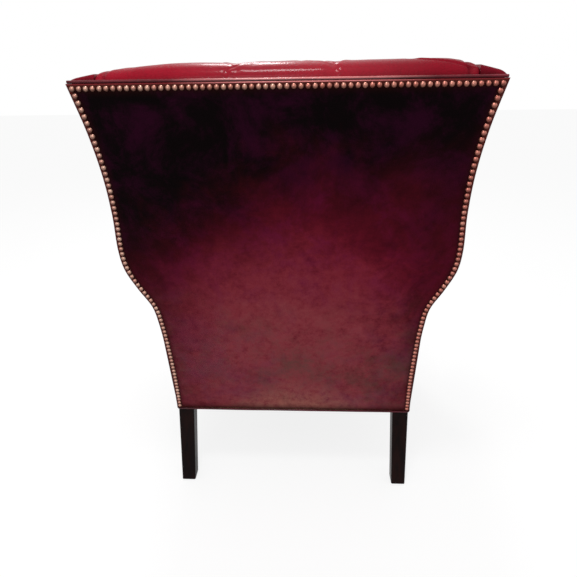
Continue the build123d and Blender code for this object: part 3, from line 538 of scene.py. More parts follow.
def hide(name, look, crimson=0.0, gloss=0.0, held=False):
    """Antiqued oxblood leather: painted shade in the folds, wine on the crowns, mottled by hand; held cords
    get a pale painted highlight.
    """
    finish = Finish(name)
    clouds = finish.noise(6.5, 5, 0.6, warp=0.4)
    flecks = finish.noise(85, 4, 0.7)
    blots = finish.noise(24, 3, 0.6, warp=0.8)
    normal, pebbles, lines = leather_grain(finish)
    fold = finish.attribute("fold")
    shade = clouds * 0.55 + blots * 0.25 + flecks * 0.2
    mottle = shade.between(0.36, 0.66)
    colour = finish.blend(mottle, look.dark, look.wine)
    colour = finish.blend(shade.between(0.54, 0.74) * 0.5, colour, look.rose_and_glow)
    if crimson:
        across = finish.axes()[0]
        colour = finish.blend((crimson + (shade - 0.5) * 0.9).share(), colour, look.crimson)
        # Darker towards the sitter's right
        colour = finish.blend((across * -1.0).between(0.08, 0.30) * 0.34, colour, look.dark)
    # Painted shade: the fold value darkens folds, seams, edges and down-facing sides
    colour = finish.blend((fold * 0.85).share(0.92), colour, scaled(look.dark, 0.45))
    colour = finish.blend(lines * 0.16, colour, scaled(look.dark, 0.6))
    rough = 0.38 - gloss * 0.4 + mottle * 0.08 + pebbles * 0.06 + fold * 0.18
    coat = (rubbed(across) * 0.26 if crimson else 0.08 + gloss * 0.4) - fold * 0.2
    # Held cords get a pale painted highlight on their upper sides, strongest in the middle
    if held:
        painted_highlight = rubbed(finish.axes()[0]) * (0.75 + flecks * 0.3)
        colour = finish.blend((painted_highlight * (1 - fold * 1.4)).most(0.0) * 0.85, colour, look.painted_highlight)
        coat = painted_highlight
    return finish.surface(
        Base_Color=colour,
        Roughness=rough.most(0.16),
        Normal=normal,
        Coat_Weight=coat.most(0.0),
        Coat_Roughness=0.14,
        Specular_IOR_Level=0.03 if crimson else 0.09 if held else 0.14,
    )


def rubbed(across):
    """How far the middle of the top edge is polished by hands, and how strong its painted highlight is there.
    """
    middle, reach, least = -0.03, 0.25, 0.08
    place = (across - middle) / reach
    return (1 - place * place).most(least)


def back_hide(name, look):
    """Leather of the outside back: painted shade makes it nearly black at the top, wine in the middle, and a
    painted tan-pink glow lights it below.
    """
    finish = Finish(name)
    across, _, up = finish.axes()
    clouds = finish.noise(4.5, 5, 0.62, warp=0.5) - 0.5
    blots = finish.noise(15, 4, 0.62, warp=0.9) - 0.5
    flecks = (finish.noise(48, 6, 0.8) - 0.5) * 1.5
    normal, pebbles, _ = leather_grain(finish)
    fold = finish.attribute("fold")
    plum_ground, plum_dye = (0.0165, 0.0012, 0.0082, 1), (0.120, 0.0050, 0.042, 1)
    violet = (0.125, 0.021, 0.058, 1)
    brown, pore = (0.088, 0.036, 0.030, 1), (0.03, 0.006, 0.007, 1)
    rim_dark, rim_light = (0.017, 0.0026, 0.0024, 1), (0.085, 0.0160, 0.0130, 1)
    # Painted shade: the leather turns nearly black upwards, sooner on the sitter's left, and towards both
    # sides
    level = up + across * 0.27 + clouds * 0.34 + blots * 0.14
    side = (across + blots * 0.12) / 0.33
    side = (side * side * 1.15).least(1.0)
    red = 1 - (level + side * 0.06).between(0.60, 1.03)
    red = red * (1 - side * 0.58) * (1.06 + blots * 1.3 + flecks * 0.9)
    plum = finish.noise(9, 7, 0.74, warp=0.3).between(0.42, 0.66)
    ground = finish.blend(plum, look.shaded_black, plum_ground)
    colour = finish.blend(red.share(), ground, look.wine)
    middle = up.between(0.46, 0.62) * (1 - up.between(0.82, 1.0)) * (1 - side * 0.7)
    colour = finish.blend(plum * middle * red.share() * 0.7, colour, plum_dye)
    # Painted glow: rose over the lower part, fading towards the sides
    rose_and_glow = 1 - (up + clouds * 0.2 + side * 0.16).between(0.47, 0.86)
    rose_and_glow = rose_and_glow * (1 - side * 0.68) * (0.97 + blots * 1.3 + flecks * 1.9)
    colour = finish.blend(rose_and_glow.share(), colour, look.rose_and_glow)
    # Brown and violet clouds where the dye has worn thin
    thin = 1 - (up + clouds * 0.3).between(0.40, 0.66)
    umber = (finish.noise(7, 7, 0.78) + flecks * 0.12).between(0.40, 0.70) * thin * 0.78
    colour = finish.blend(umber, colour, brown)
    colour = finish.blend(plum * thin * 0.34, colour, violet)
    # Painted glow: tan pink over the foot of the panel
    glow = 1 - (up + side * 0.2 + clouds * 0.12).between(0.22, 0.37)
    glow = glow * (0.72 + flecks * 2.2 + blots * 0.8)
    colour = finish.blend(glow.share(0.95), colour, look.tan)
    speck = finish.cells(260).between(0.02, 0.22)
    colour = finish.blend((1 - speck) * thin * 0.22, colour, pore)
    # Painted shade: dark maroon at the rims and round the nails
    rim = finish.blend(fold.between(0.70, 1.0), rim_dark, rim_light)
    colour = finish.blend((fold * 1.1).share(0.97), colour, rim)
    # The rolled upper edge is crimson in place of the rim's painted shade; in the middle it is polished and
    # carries a pale painted highlight
    lip = up.between(1.0925, 1.0942)
    held = rubbed(across)
    colour = finish.blend(lip * 0.85, colour, scaled(look.crimson, 0.42))
    colour = finish.blend(lip * held * (0.8 + flecks * 0.5), colour, look.painted_highlight)
    return finish.surface(
        Base_Color=colour,
        Roughness=(0.5 + pebbles * 0.06 + flecks * 0.1) * (1 - lip * held * 0.5),
        Normal=normal,
        Coat_Weight=(rose_and_glow * 0.14 - fold * 0.1 + lip * held).most(0.0),
        Coat_Roughness=0.3,
        Specular_IOR_Level=0.02,
    )


def wood(name, dark, light, axis, gloss, specular):
    """Straight-grained wood with pores along one axis, polished or sawn."""
    finish = Finish(name)
    lengthwise = 0.07
    drawn = finish.stretched(tuple(lengthwise if way == axis else 1.0 for way in range(3)))
    bands = finish.noise(60, 4, 0.6, place=drawn, warp=0.6)
    fibres = finish.noise(700, 3, 0.7, place=drawn)
    patches = finish.noise(9, 3, 0.5)
    tone = (bands * 0.55 + fibres * 0.3 + patches * 0.15).between(0.36, 0.64)
    colour = finish.blend(tone, solid(dark), solid(light))
    height = fibres * 0.6 + bands * 0.4
    return finish.surface(
        Base_Color=colour,
        Roughness=0.62 - gloss + (1 - tone) * 0.12,
        Normal=finish.bump(height, 0.00014),
        Coat_Weight=patches * gloss * 0.3,
        Coat_Roughness=0.14,
        Specular_IOR_Level=specular,
    )


def metal(name, bright, dull, roughness):
    """Metal with patina, each part of a piece a little different."""
    finish = Finish(name)
    patina = finish.noise(420, 4, 0.65)
    smears = finish.noise(60, 3, 0.6)
    dents = finish.noise(900, 2, 0.5)
    own = finish.node("ShaderNodeNewGeometry", output="Random Per Island")
    tone = (patina * 0.5 + smears * 0.2 + own * 0.3).between(0.3, 0.72)
    colour = finish.blend(tone, solid(dull), solid(bright))
    return finish.surface(
        Base_Color=colour,
        Metallic=1.0,
        Roughness=roughness + (1 - tone) * 0.22,
        Normal=finish.bump(dents * 0.5 + patina * 0.5, 0.00012),
    )


def nail_metal(name, facing):
    """Antique brass nail heads: rubbed bright on the dome, brown patina at the rim, painted shade on the
    lower half, and a painted warm light that turns them gold towards the sitter's left.
    """
    finish = Finish(name)
    patina = finish.noise(480, 4, 0.65)
    across = finish.axes()[0] + finish.noise(5, 3, 0.6) * 0.5 - 0.25
    dents = finish.noise(900, 2, 0.5)
    own = finish.node("ShaderNodeNewGeometry", output="Random Per Island")
    normal = finish.node("ShaderNodeNewGeometry", output="Normal")
    dot = {"operation": "DOT_PRODUCT"}
    square = finish.node("ShaderNodeVectorMath", dot, {0: normal, 1: facing}, output="Value")
    # Painted shade: the half facing down is darker
    skyward = (0, facing[1] * 0.45, 0.9)
    upper = finish.node("ShaderNodeVectorMath", dot, {0: normal, 1: skyward}, output="Value")
    dome = square.between(0.30, 0.85) * 0.55 + upper.between(-0.25, 0.95) * 0.6
    tone = (dome * dome * 0.95 + (patina - 0.5) * 0.6 + (own - 0.5) * 0.2).share()
    # Painted warm light: gold towards the sitter's left, copper towards the right
    gold = (across.between(-0.30, 0.34) * 0.75 + (own - 0.5) * 0.5).share()
    copper, brass, patina_and_shade_brown = (0.50, 0.175, 0.135, 1), (0.55, 0.34, 0.26, 1), (0.030, 0.008, 0.005, 1)
    return finish.surface(
        Base_Color=finish.blend(tone, patina_and_shade_brown, finish.blend(gold, copper, brass)),
        Metallic=1.0,
        Roughness=0.27 + (1 - tone) * 0.34,
        Normal=finish.bump(dents * 0.5 + patina * 0.5, 0.00012),
    )


def woven(name, warp, weft, threads, depth=0.0003):
    """Plain weave: two sets of threads, this many a metre, that cross over and under."""
    finish = Finish(name)
    across, deep, up = finish.axes()
    turns = math.pi * threads
    sine = {"operation": "SINE"}
    first = finish.node("ShaderNodeMath", sine, {0: across * turns})
    second = finish.node("ShaderNodeMath", sine, {0: (deep + up) * turns})
    weave = first * second
    slub = finish.noise(threads * 0.4, 3, 0.6)
    share = (weave * 0.5 + slub).between(0.1, 0.9)
    colour = finish.blend(share, solid(warp), solid(weft))
    return finish.surface(
        Base_Color=colour,
        Roughness=0.82 + slub * 0.14,
        Normal=finish.bump(weave * 0.5 + slub * 0.5, depth),
        Sheen_Weight=0.1,
        Specular_IOR_Level=0.2,
    )


def felted(name, colour, light):
    """Loose stuffing of hair and cotton."""
    finish = Finish(name)
    tufts = finish.noise(140, 5, 0.75, warp=1.5)
    hairs = finish.noise(900, 3, 0.7, warp=2.0)
    share = (tufts * 0.6 + hairs * 0.4).between(0.35, 0.65)
    return finish.surface(
        Base_Color=finish.blend(share, solid(colour), solid(light)),
        Roughness=0.95,
        Normal=finish.bump(tufts * 0.6 + hairs * 0.4, 0.0012),
        Specular_IOR_Level=0.1,
    )


# What a user may change
def dye(name, description, default):
    """A colour of the leather."""
    facts = {"name": name, "description": description, "default": default}
    return FloatVectorProperty(subtype="COLOR", size=4, **facts)


def length(name, description, default, low, high):
    """A size in metres."""
    facts = {"name": name, "description": description, "default": default}
    return FloatProperty(unit="LENGTH", min=low, max=high, **facts)


def power(name, description, default):
    """The power of a lamp in watts."""
    return FloatProperty(name=name, description=description, unit="POWER", default=default, min=0)


class LeatherColours(PropertyGroup):
    wine: dye("Wine", "Dye on the flat of the hide", (0.150, 0.0062, 0.0195, 1))
    # Rose tone of the hide's mottling, and the painted glow over the lower outside back
    rose_and_glow: dye("Rose", "Rubbed crowns of the hide", (0.215, 0.030, 0.040, 1))
    crimson: dye("Crimson", "Bright dye of the top roll", (0.335, 0.0080, 0.0210, 1))
    # Colour of the painted glow over the foot of the outside back
    tan: dye("Tan pink", "Worn foot of the outside back", (0.30, 0.098, 0.074, 1))
    # Pale colour of the painted highlight on the cords and the outside back's upper edge
    painted_highlight: dye("Worn pale", "Cords rubbed by hands", (0.88, 0.27, 0.26, 1))
    # Dark tone of the hide's mottling; darker still, it is the painted shade in folds, seams and edges
    dark: dye("Dark dye", "Dye that gathers in the folds", (0.052, 0.0035, 0.007, 1))
    # Painted shade: nearly black over the upper corners of the outside back
    shaded_black: dye("Nearly black", "Upper corners of the outside back", (0.0022, 0.0009, 0.0012, 1))


class Upholstery(PropertyGroup):
    nail_dimple: length("Nail dimple", "How far a nail draws the leather in", 0.0011, 0, 0.003)
    back_swell: length("Back swell", "Rise of the outside back between its nails", 0.0024, 0, 0.008)
    crown_puff: length("Crown puff", "Extra fullness of the top roll", 0.002, 0, 0.008)
    pillow: length("Pillow rise", "Rise of the tufted pillows over the plain back", 0.008, 0, 0.01)
    crease: length("Pleat depth", "Depth of the pleats between the buttons", 0.015, 0.004, 0.024)
    arm_puff: length("Arm and wing puff", "Fullness of the inside arms and wings", 0.006, 0, 0.01)
    welt_radius: length("Welt radius", "Radius of the covered cords", 0.003, 0.002, 0.005)


class CushionFilling(PropertyGroup):
    pressure: FloatProperty(
        name="Pressure", description="How hard the filling pushes", default=4.0, min=0.5, max=10
    )
    cap: length("Most swelling", "Furthest that the leather may move", 0.012, 0.002, 0.03)
    voxel: length("Net size", "Size of the net that is blown up", 0.0055, 0.004, 0.01)
    frames: IntProperty(
        name="Steps", description="Frames that the filling settles for", default=20, min=5, max=40
    )


class StudioLight(PropertyGroup):
    room: FloatProperty(
        name="Room light", description="Strength of the even light from all round", default=0.62, min=0, max=2
    )
    overhead: power("Overhead", "Power of the soft light over the chair", 14)
    front: power("Front", "Power of the softbox before the chair", 24)
    fill: power("Fill", "Power of the soft light beside the camera", 20)


class ArmchairSettings(PropertyGroup):
    leather: PointerProperty(type=LeatherColours)
    upholstery: PointerProperty(type=Upholstery)
    cushion: PointerProperty(type=CushionFilling)
    light: PointerProperty(type=StudioLight)


def settings():
    """The settings of this scene's chair."""
    return bpy.context.scene.armchair


def plain_hide():
    """The leather that most pieces share, made once."""
    found = bpy.data.materials.get("oxblood_hide")
    return found or hide("oxblood_hide", settings().leather)


# Outside back
def nail_line():
    """Places of the back's nails: across and up the slope."""
    low = (PANEL_BOTTOM - LEG_CLEARANCE) / math.cos(RAKE) + NAIL_INSET
    top = SLOPE_LENGTH - NAIL_INSET
    up = np.linspace(low, top, 400)
    z = LEG_CLEARANCE + up * math.cos(RAKE)
    tilt = np.arctan((edge_x(z + NAIL_INSET) - edge_x(z - NAIL_INSET)) / (2 * NAIL_INSET))
    side = resampled(np.column_stack([edge_x(z) - NAIL_INSET / np.cos(tilt), up]), NAIL_PITCH)
    row = resampled([(-side[-1, 0], top), (side[-1, 0], top)], NAIL_PITCH)
    return np.vstack([side, side * (-1, 1), row[1:-1]])


def near(points, places, reach):
    """Sum of soft dimples round places, for points of a plane."""
    total = np.zeros(points.shape[:-1])
    for place in places:
        distance = np.sum((points - place) ** 2, axis=-1)
        total += np.exp(-distance / reach**2)
    return total


class ARMCHAIR_OT_outside_back(Operator):
    """Flat leather panel on the outside back, drawn in by its nails"""

    bl_idname = "armchair.outside_back"
    bl_label = "Outside back"

    def execute(self, context):
        work = settings().upholstery
        low = (PANEL_BOTTOM - LEG_CLEARANCE) / math.cos(RAKE)
        margin = np.array([0, 0.7, 1.8, 3.2, 5, 7, 9, 11, 13, 15.5, 19, 23.5]) * MILLIMETRE
        between = np.arange(low + 0.0045, SLOPE_LENGTH - 0.0255, 0.0036)
        rows = np.concatenate([low + margin[:4], between, SLOPE_LENGTH - margin[::-1]])
        half = edge_x(LEG_CLEARANCE + rows * math.cos(RAKE))[:, None]
        inner = half - margin[-1]
        shares = np.linspace(-1, 1, 150)[1:-1]
        across = np.hstack([-half + margin, inner * shares, (half - margin)[:, ::-1]])
        up = np.broadcast_to(rows[:, None], across.shape)
        plane = np.stack([across, up], axis=-1)
        edge = np.minimum(half - np.abs(across), SLOPE_LENGTH - up)
        edge = np.minimum(edge, up - low)
        swell = ease(edge, 0.013, 0.085) * work.back_swell
        flat = np.stack([across, up, 0 * up], axis=-1)
        waves = 0.0008 * ripples(flat, 0.26, 3) + 0.00035 * ripples(flat, 0.085, 5)
        swell += ease(edge, 0.012, 0.06) * waves
        dimple_reach, turn_reach, turn_depth, rim_reach = 0.0062, 0.0032, 0.0018, 0.028
        dimples = near(plane, nail_line(), dimple_reach)
        turned = turn_depth * np.clip(1 - edge / turn_reach, 0, 1) ** 2
        deep = turned - swell + np.minimum(dimples, 1.2) * work.nail_dimple
        # Fold values for painted shade near the edges and round each nail
        rim = np.clip(1 - edge / rim_reach, 0, 1) ** 1.6
        fold = np.clip(rim + np.minimum(dimples, 1.0) * 0.45, 0, 1)
        panel = back_point(across, up, deep)
        mesh = Form().net(panel, fold).mesh("outside_back_leather")
        finish = back_hide("outside_back_hide", settings().leather)
        facts = {
            "replaced": ["outside_back"],
            "thickness": PANEL_HIDE,
            "sheet": cut_of(panel, ["crest_rail", "rear_post_left", "rear_post_right", "seat_rail_rear"]),
        }
        add_piece("outside_back_leather", mesh, finish, "back_leather", **facts)
        return {"FINISHED"}


# Welts
class ARMCHAIR_OT_welts(Operator):
    """Covered cords over the top of the outside back and round the bottom edge"""

    bl_idname = "armchair.welts"
    bl_label = "Welts"

    def execute(self, context):
        radius = settings().upholstery.welt_radius
        self.crest(radius)
        self.base(radius)
        return {"FINISHED"}

    def crest(self, radius):
        """Two cords side by side along the top, with painted shade where they face down."""
        crest = Form()
        x = np.linspace(-HALF_TOP + radius, HALF_TOP - radius, 260)
        for number, depth in enumerate((radius, 3 * radius + GAP)):
            sway = 0.00035 * ripples(along(x), 0.11, 11 + number)
            thin = radius * (0.93 + 0.05 * ripples(along(x), 0.05, 21 + number))
            path = np.stack([x, back_y(TOP, depth) + sway, CROWN_BOTTOM + radius + sway * 0.6], axis=-1)
            rings = tube(path, thin, 14)
            # Painted shade on the lower side of each cord
            facing = ((rings - path[:, None]) @ np.array((0, 0.55, 0.83))) / radius
            crest.net(rings, 0.75 - 0.75 * ease(facing, 0.1, 0.9), ring=True, ends=True)
        # The cords carry a pale painted highlight
        finish = hide("cord_hide", settings().leather, gloss=0.5, held=True)
        mesh = crest.mesh("crest_welt_cords")
        add_piece("crest_welt_cords", mesh, finish, "welt_leather", replaced=["crest_welt"])

    def base(self, radius):
        """One cord round the bottom edge."""
        z = LEG_CLEARANCE + radius
        back, front = back_y(z), FRONT_Y + radius
        foot, wide = HALF_FOOT - 0.001, side_x(front)
        corners = [(foot, back, z), (wide, front, z), (-wide, front, z), (-foot, back, z)]
        path = softened(resampled(corners, 0.005, loop=True), 3)
        path[:, 2] += 0.0004 * ripples(path, 0.12, 31)
        thin = radius * (0.95 + 0.05 * ripples(path, 0.06, 33))
        # Painted shade of 0.45 darkens the whole cord evenly
        base = Form().net(closed_tube(path, thin, 14, np.array((0, 0, 1.0))), 0.45, ring=True, loop=True)
        finish = hide("dark_cord_hide", settings().leather, gloss=0.5)
        mesh = base.mesh("base_welt_cord")
        add_piece("base_welt_cord", mesh, finish, "welt_leather", replaced=["base_welt"])


# Inside back
def tuft_places():
    """Buttons of the inside back: across and up the slope, in staggered rows."""
    places = []
    for row in range(TUFT_ROWS):
        up = SLOPE_LENGTH - TUFT_TOP_DROP - row * TUFT_ROW_GAP
        columns = (-1.5, -0.5, 0.5, 1.5) if row % 2 == 0 else (-1, 0, 1)
        places += [(column * TUFT_SPACING, up) for column in columns]
    return places


def pleats():
    """Ends of every pleat, from button to button and up and down from the outer rows."""
    places = tuft_places()
    first, last = places[0][1], places[-1][1]
    far = 0.3
    lines = []
    for x, up in places:
        if up == first:
            lines.append(((x, up), (x, up + far)))
        if up == last:
            lines.append(((x, up), (x, up - far)))
            continue
        for side in (-0.5, 0.5):
            lines.append(((x, up), (x + side * TUFT_SPACING, up - TUFT_ROW_GAP)))
    for row in (1, 3):
        up = first - row * TUFT_ROW_GAP
        for x in (-TUFT_SPACING, TUFT_SPACING):
            way = math.copysign(0.5 * TUFT_SPACING, x)
            if row == 1:
                lines.append(((x, up), (x + way, up - TUFT_ROW_GAP)))
            lines.append(((x, up), (x + way, up + TUFT_ROW_GAP)))
    return lines


def tufting(across, up, work):
    """Rise of the tufted leather over the plain front of the back, and the painted shade of its pleats and
    buttons.
    """
    places = np.stack([across, up], axis=-1)
    pleat = np.full(across.shape, 1.0)
    for start, end in pleats():
        start, end = np.array(start), np.array(end)
        run = end - start
        share = np.clip(((places - start) @ run) / (run @ run), 0, 1)
        distance = np.linalg.norm(places - start - share[..., None] * run, axis=-1)
        pleat = np.minimum(pleat, distance)
    ray_start, ray_reach = 0.024, 0.012
    button = np.full(across.shape, 1.0)
    creases = np.zeros(across.shape)
    for number, place in enumerate(tuft_places()):
        offset = places - np.array(place)
        distance = np.linalg.norm(offset, axis=-1)
        button = np.minimum(button, distance)
        angle = np.arctan2(offset[..., 1], offset[..., 0])
        rays = np.cos(9 * angle + number) * 0.6 + np.cos(14 * angle + 2.1 * number) * 0.4
        creases += rays * np.exp(-(((distance - ray_start) / ray_reach) ** 2))
    pleat_floor, pleat_reach, button_reach, ray_height = 0.0014, 0.019, 0.021, 0.0007
    soft = np.sqrt(pleat**2 + pleat_floor**2) - pleat_floor
    rise = work.pillow - work.crease * np.exp(-((soft / pleat_reach) ** 0.85))
    sink = TUFT_DEPTH + work.pillow - work.crease
    rise -= sink * np.exp(-((button / button_reach) ** 1.6))
    rise += ray_height * creases
    # Painted shade in the pleats and round the buttons
    dark = 0.85 * np.exp(-pleat / 0.0032) + 0.8 * np.exp(-((button / 0.013) ** 2))
    return rise, np.clip(dark, 0, 1)


def inner_x(z):
    """Half the room for the inside back at height z."""
    y = back_y(z, PAD_BACK)
    centre, radius = roll_section(y)
    over = wing_x(z, y, wing_line(z)[2])
    arc = centre - np.sqrt(np.maximum(radius**2 - (z - ROLL_HEIGHT) ** 2, 0))
    above = np.where(z < ROLL_HEIGHT + ROLL_FRONT, np.minimum(over, arc), over)
    width = np.where(z < ROLL_HEIGHT, side_x(y, ARM_WALL), above)
    for _ in range(6):
        width[1:-1] = (width[:-2] + 2 * width[1:-1] + width[2:]) / 4
    return width


def front_up(z, deep):
    """Distance up the slope of a point at height z and this far forwards."""
    return (z - LEG_CLEARANCE - deep * math.sin(RAKE)) / math.cos(RAKE)


# Half section of a covered button, in millimetres: out from its middle, and up
BUTTON_PROFILE = (
    (0.4, 6.1),
    (2.5, 5.9),
    (5.0, 5.2),
    (7.5, 3.9),
    (9.6, 2.1),
    (10.9, 0.4),
    (10.8, -1.0),
    (9.0, -1.8),
)


class ARMCHAIR_OT_inside_back(Operator):
    """Deep-buttoned inside back with its pleats and covered buttons"""

    bl_idname = "armchair.inside_back"
    bl_label = "Inside back"

    def execute(self, context):
        self.tufted(settings().upholstery)
        self.buttons()
        return {"FINISHED"}

    def tufted(self, work):
        """Leather over the front and both rounded sides of the padding."""
        z = np.linspace(PAD_FLOOR + 0.001, TOP, 216)
        half = inner_x(z)[:, None] - 0.003
        edge = 0.024
        flat = np.linspace(-1, 1, 170) * (half - edge)
        turn = np.linspace(0, math.pi / 2, 9)[1:]
        out = half - edge + edge * np.sin(turn)
        side_deep = PAD_FRONT - edge * (1 - np.cos(turn))
        back = np.linspace(PAD_FRONT - edge, PAD_BACK, 8)[1:]
        right = np.hstack([out, np.broadcast_to(half, (len(z), len(back)))])
        across = np.hstack([-right[:, ::-1], flat, right])
        deep_side = np.concatenate([side_deep, back])
        deep = np.concatenate([deep_side[::-1], np.full(flat.shape[1], PAD_FRONT), deep_side])
        deep = np.broadcast_to(deep, across.shape)
        up = front_up(z[:, None], deep)
        rise, fold = tufting(across, up, work)
        hold = ease(deep, PAD_FRONT - edge, PAD_FRONT - 0.002)
        net = back_point(across, up, deep + rise * hold)
        net[..., 0] -= np.sign(across) * np.minimum(0, rise) * (1 - hold) * 0.3
        mesh = Form().net(net, fold * hold).mesh("inside_back_leather")
        facts = {"replaced": ["inside_back"], "fill": 0.8, "thickness": TUFTED_HIDE}
        add_piece("inside_back_leather", mesh, plain_hide(), "back_padding", **facts)

    def buttons(self):
        """Covered buttons, a little crimped round their rims."""
        buttons = Form()
        profile = np.array(BUTTON_PROFILE) * MILLIMETRE
        angles = np.linspace(0, TAU, 28, endpoint=False)
        for number, (x, up) in enumerate(tuft_places()):
            crimp = 1 + 0.012 * np.cos(7 * angles + number)
            radius = profile[:, :1] * crimp
            deep = PAD_FRONT - TUFT_DEPTH + profile[:, 1:] + 0 * radius
            net = back_point(x + radius * np.cos(angles), up + radius * np.sin(angles), deep)
            # Painted shade round each button's rim
            fold = np.broadcast_to(ease(profile[:, :1], 0.008, 0.0112), radius.shape) * 0.5
            buttons.net(net, fold, ring=True, ends=True)
        mesh = buttons.mesh("back_buttons_leather")
        add_piece("back_buttons_leather", mesh, plain_hide(), "button_leather", replaced=["back_buttons"])


# Crown
# Folds over the top roll: x where each starts and ends, how far back it starts and ends, width and depth
CROWN_CREASES = (
    (0.048, 0.104, 0.44, 0.86, 0.0045, 0.0016),
    (-0.010, 0.088, 0.50, 0.74, 0.0060, 0.0013),
    (0.128, 0.098, 0.40, 0.70, 0.0050, 0.0010),
    (-0.070, -0.094, 0.42, 0.84, 0.0045, 0.0015),
    (-0.112, -0.092, 0.38, 0.72, 0.0050, 0.0012),
    (-0.030, -0.086, 0.52, 0.76, 0.0060, 0.0009),
    (0.300, 0.336, 0.45, 0.85, 0.0050, 0.0012),
    (-0.235, -0.334, 0.56, 0.84, 0.0070, 0.0030),
    (-0.305, -0.338, 0.40, 0.80, 0.0045, 0.0011),
)

# Height of the roll along the chair, from the sitter's right to left
CROWN_PROFILE = (
    (-0.352, 0.0215),
    (-0.334, 0.0262),
    (-0.316, 0.0304),
    (-0.296, 0.0326),
    (-0.2, 0.0328),
    (-0.1, 0.0324),
    (0.0, 0.0325),
    (0.1, 0.0312),
    (0.2, 0.0312),
    (0.25, 0.0288),
    (0.284, 0.0256),
    (0.318, 0.0228),
    (0.352, 0.0172),
)


def crown_height(x):
    """Rise of the crown along the chair, with its two pleats and low ends."""
    rise = smooth(CROWN_PROFILE, x) - 0.0024 * np.exp(-(((np.abs(x) - TUFT_SPACING / 2) / 0.014) ** 2))
    return rise + 0.0008 * ripples(along(x), 0.2, 41)


class ARMCHAIR_OT_crown(Operator):
    """Stuffed roll over the top rail, drawn in at its pleats and gathered at its ends"""

    bl_idname = "armchair.crown"
    bl_label = "Crown"

    def execute(self, context):
        work = settings().upholstery
        half = float(wing_x(TOP, back_y(TOP, CREST_DEPTH), WING_TOP_WALL)) - GAP
        x = np.linspace(-half, half, 250)
        angles = np.linspace(0, math.pi, 56)
        rear = back_y(CROWN_BOTTOM, CREST_DEPTH)
        top_up = front_up(TOP, PAD_FRONT)
        rise = tufting(x, np.full_like(x, top_up), work)[0]
        front_line = back_point(x, np.full_like(x, top_up), PAD_FRONT + rise)[:, 1]
        height = crown_height(x)[:, None] + work.crown_puff * 0.5
        squareness = 2 / 2.35
        bend = np.cos(angles)
        lift = np.sin(angles) ** squareness
        run = np.sign(bend) * np.abs(bend) ** squareness
        front, rear = front_line[:, None], np.full((len(x), 1), rear)
        y = (front + rear) / 2 - run[None] * (rear - front) / 2
        z = CROWN_BOTTOM + height * lift[None]
        net = np.stack([np.broadcast_to(x[:, None], y.shape), y, z], axis=-1)
        # Pleats run back from the first row of buttons and die out at the welt
        pleat_depth, fan_share, fan_wave, fan_reach = 0.0035, 0.16, 0.011, 0.035
        share = angles[None] / math.pi
        lines = np.zeros(y.shape)
        for place, strength in ((0.5, 1.0), (1.5, 0.35)):
            for side in (-1, 1):
                offset = x[:, None] - side * place * TUFT_SPACING
                width = 0.005 + 0.010 * share
                lines += strength * np.exp(-((offset / width) ** 2)) * (0.75 - 0.75 * ease(share, 0.15, 0.62))
                fan = np.cos(offset / fan_wave + 5 * share * side) * np.exp(-np.abs(offset) / fan_reach)
                lines += fan_share * strength * fan * ease(share, 0.1, 0.35) * (1 - ease(share, 0.6, 0.98))
        pull = pleat_depth * lines * ease(share, 0.02, 0.15)
        for start, end, low, high, wide, deep in CROWN_CREASES:
            way = ease(share, low, high)
            offset = x[:, None] - (start + (end - start) * way)
            fade = ease(share, low - 0.12, low + 0.05) * (1 - ease(share, high - 0.03, high + 0.14))
            pull += deep * fade * np.exp(-((offset / wide) ** 2))
            pull -= deep * 0.5 * fade * np.exp(-(((offset + 1.9 * wide) / (1.3 * wide)) ** 2))
        end_depth, end_reach, fold_place, fold_reach = 0.0022, 0.003, 0.018, 0.0035
        from_end = half - np.abs(x[:, None])
        ends = np.exp(-from_end / end_reach) * end_depth
        folds = np.exp(-(((from_end - fold_place) / fold_reach) ** 2)) * end_depth * ease(share, 0.25, 0.6)
        belly = ease(share, 0.5, 0.85) * (1 - ease(share, 0.93, 1.0))
        belly = work.crown_puff * np.sin(angles[None]) * belly
        away = normals_of(net, net.mean(axis=1, keepdims=True) - (0, 0, 0.01))
        net = net + away * (belly - pull - ends - folds)[..., None]
        # Painted shade along the pleats and at the ends, and at both feet of the roll
        crease = np.clip(lines * 0.55 + ends / 0.006 + folds / end_depth * 0.5, 0, 1)
        crease = np.maximum(crease, 1 - ease(share, 0.0, 0.05))
        crease = np.maximum(crease, 0.8 * ease(share, 0.965, 1.0))
        form = Form().net(net, crease)
        base = net[:, [-1, 0]].copy()
        form.net(base, 1.0)
        for row in (net[0], net[-1]):
            middle = row.mean(axis=0)[None]
            form.net(np.stack([row, np.repeat(middle, len(row), axis=0)]), 1.0)
        mesh = form.mesh("crown_roll_leather", merge=SEAM)
        finish = hide("crown_hide", settings().leather, crimson=0.85, gloss=0.2)
        add_piece("crown_roll_leather", mesh, finish, "crown_padding", replaced=["crown_roll"], fill=0.75)
        return {"FINISHED"}


# Wings
def wing_ring(z):
    """Level ring of the left wing's padding: round the nose, back along the inside, round the frame."""
    tip, wall = wing_line(z)[1:]
    rear = back_y(z, FRAME_FRONT + GAP)
    half, frame_wall = wall / 2, 0.027
    start = tip + half
    middle = wing_x(z, start, half)
    nose = np.linspace(0, math.pi, NOSE_POINTS)
    points = [(middle + half * math.cos(a), start - half * math.sin(a)) for a in nose]
    points += [(wing_x(z, y, wall), y) for y in np.linspace(start, rear, WING_POINTS + 1)[1:]]
    points += [(wing_x(z, rear, wall) + (wall - frame_wall) * k / 6, rear) for k in range(1, 7)]
    points += [(wing_x(z, y, frame_wall), y) for y in np.linspace(rear, start, 24)[1:-1]]
    return np.array([(x, y, z) for x, y in points])


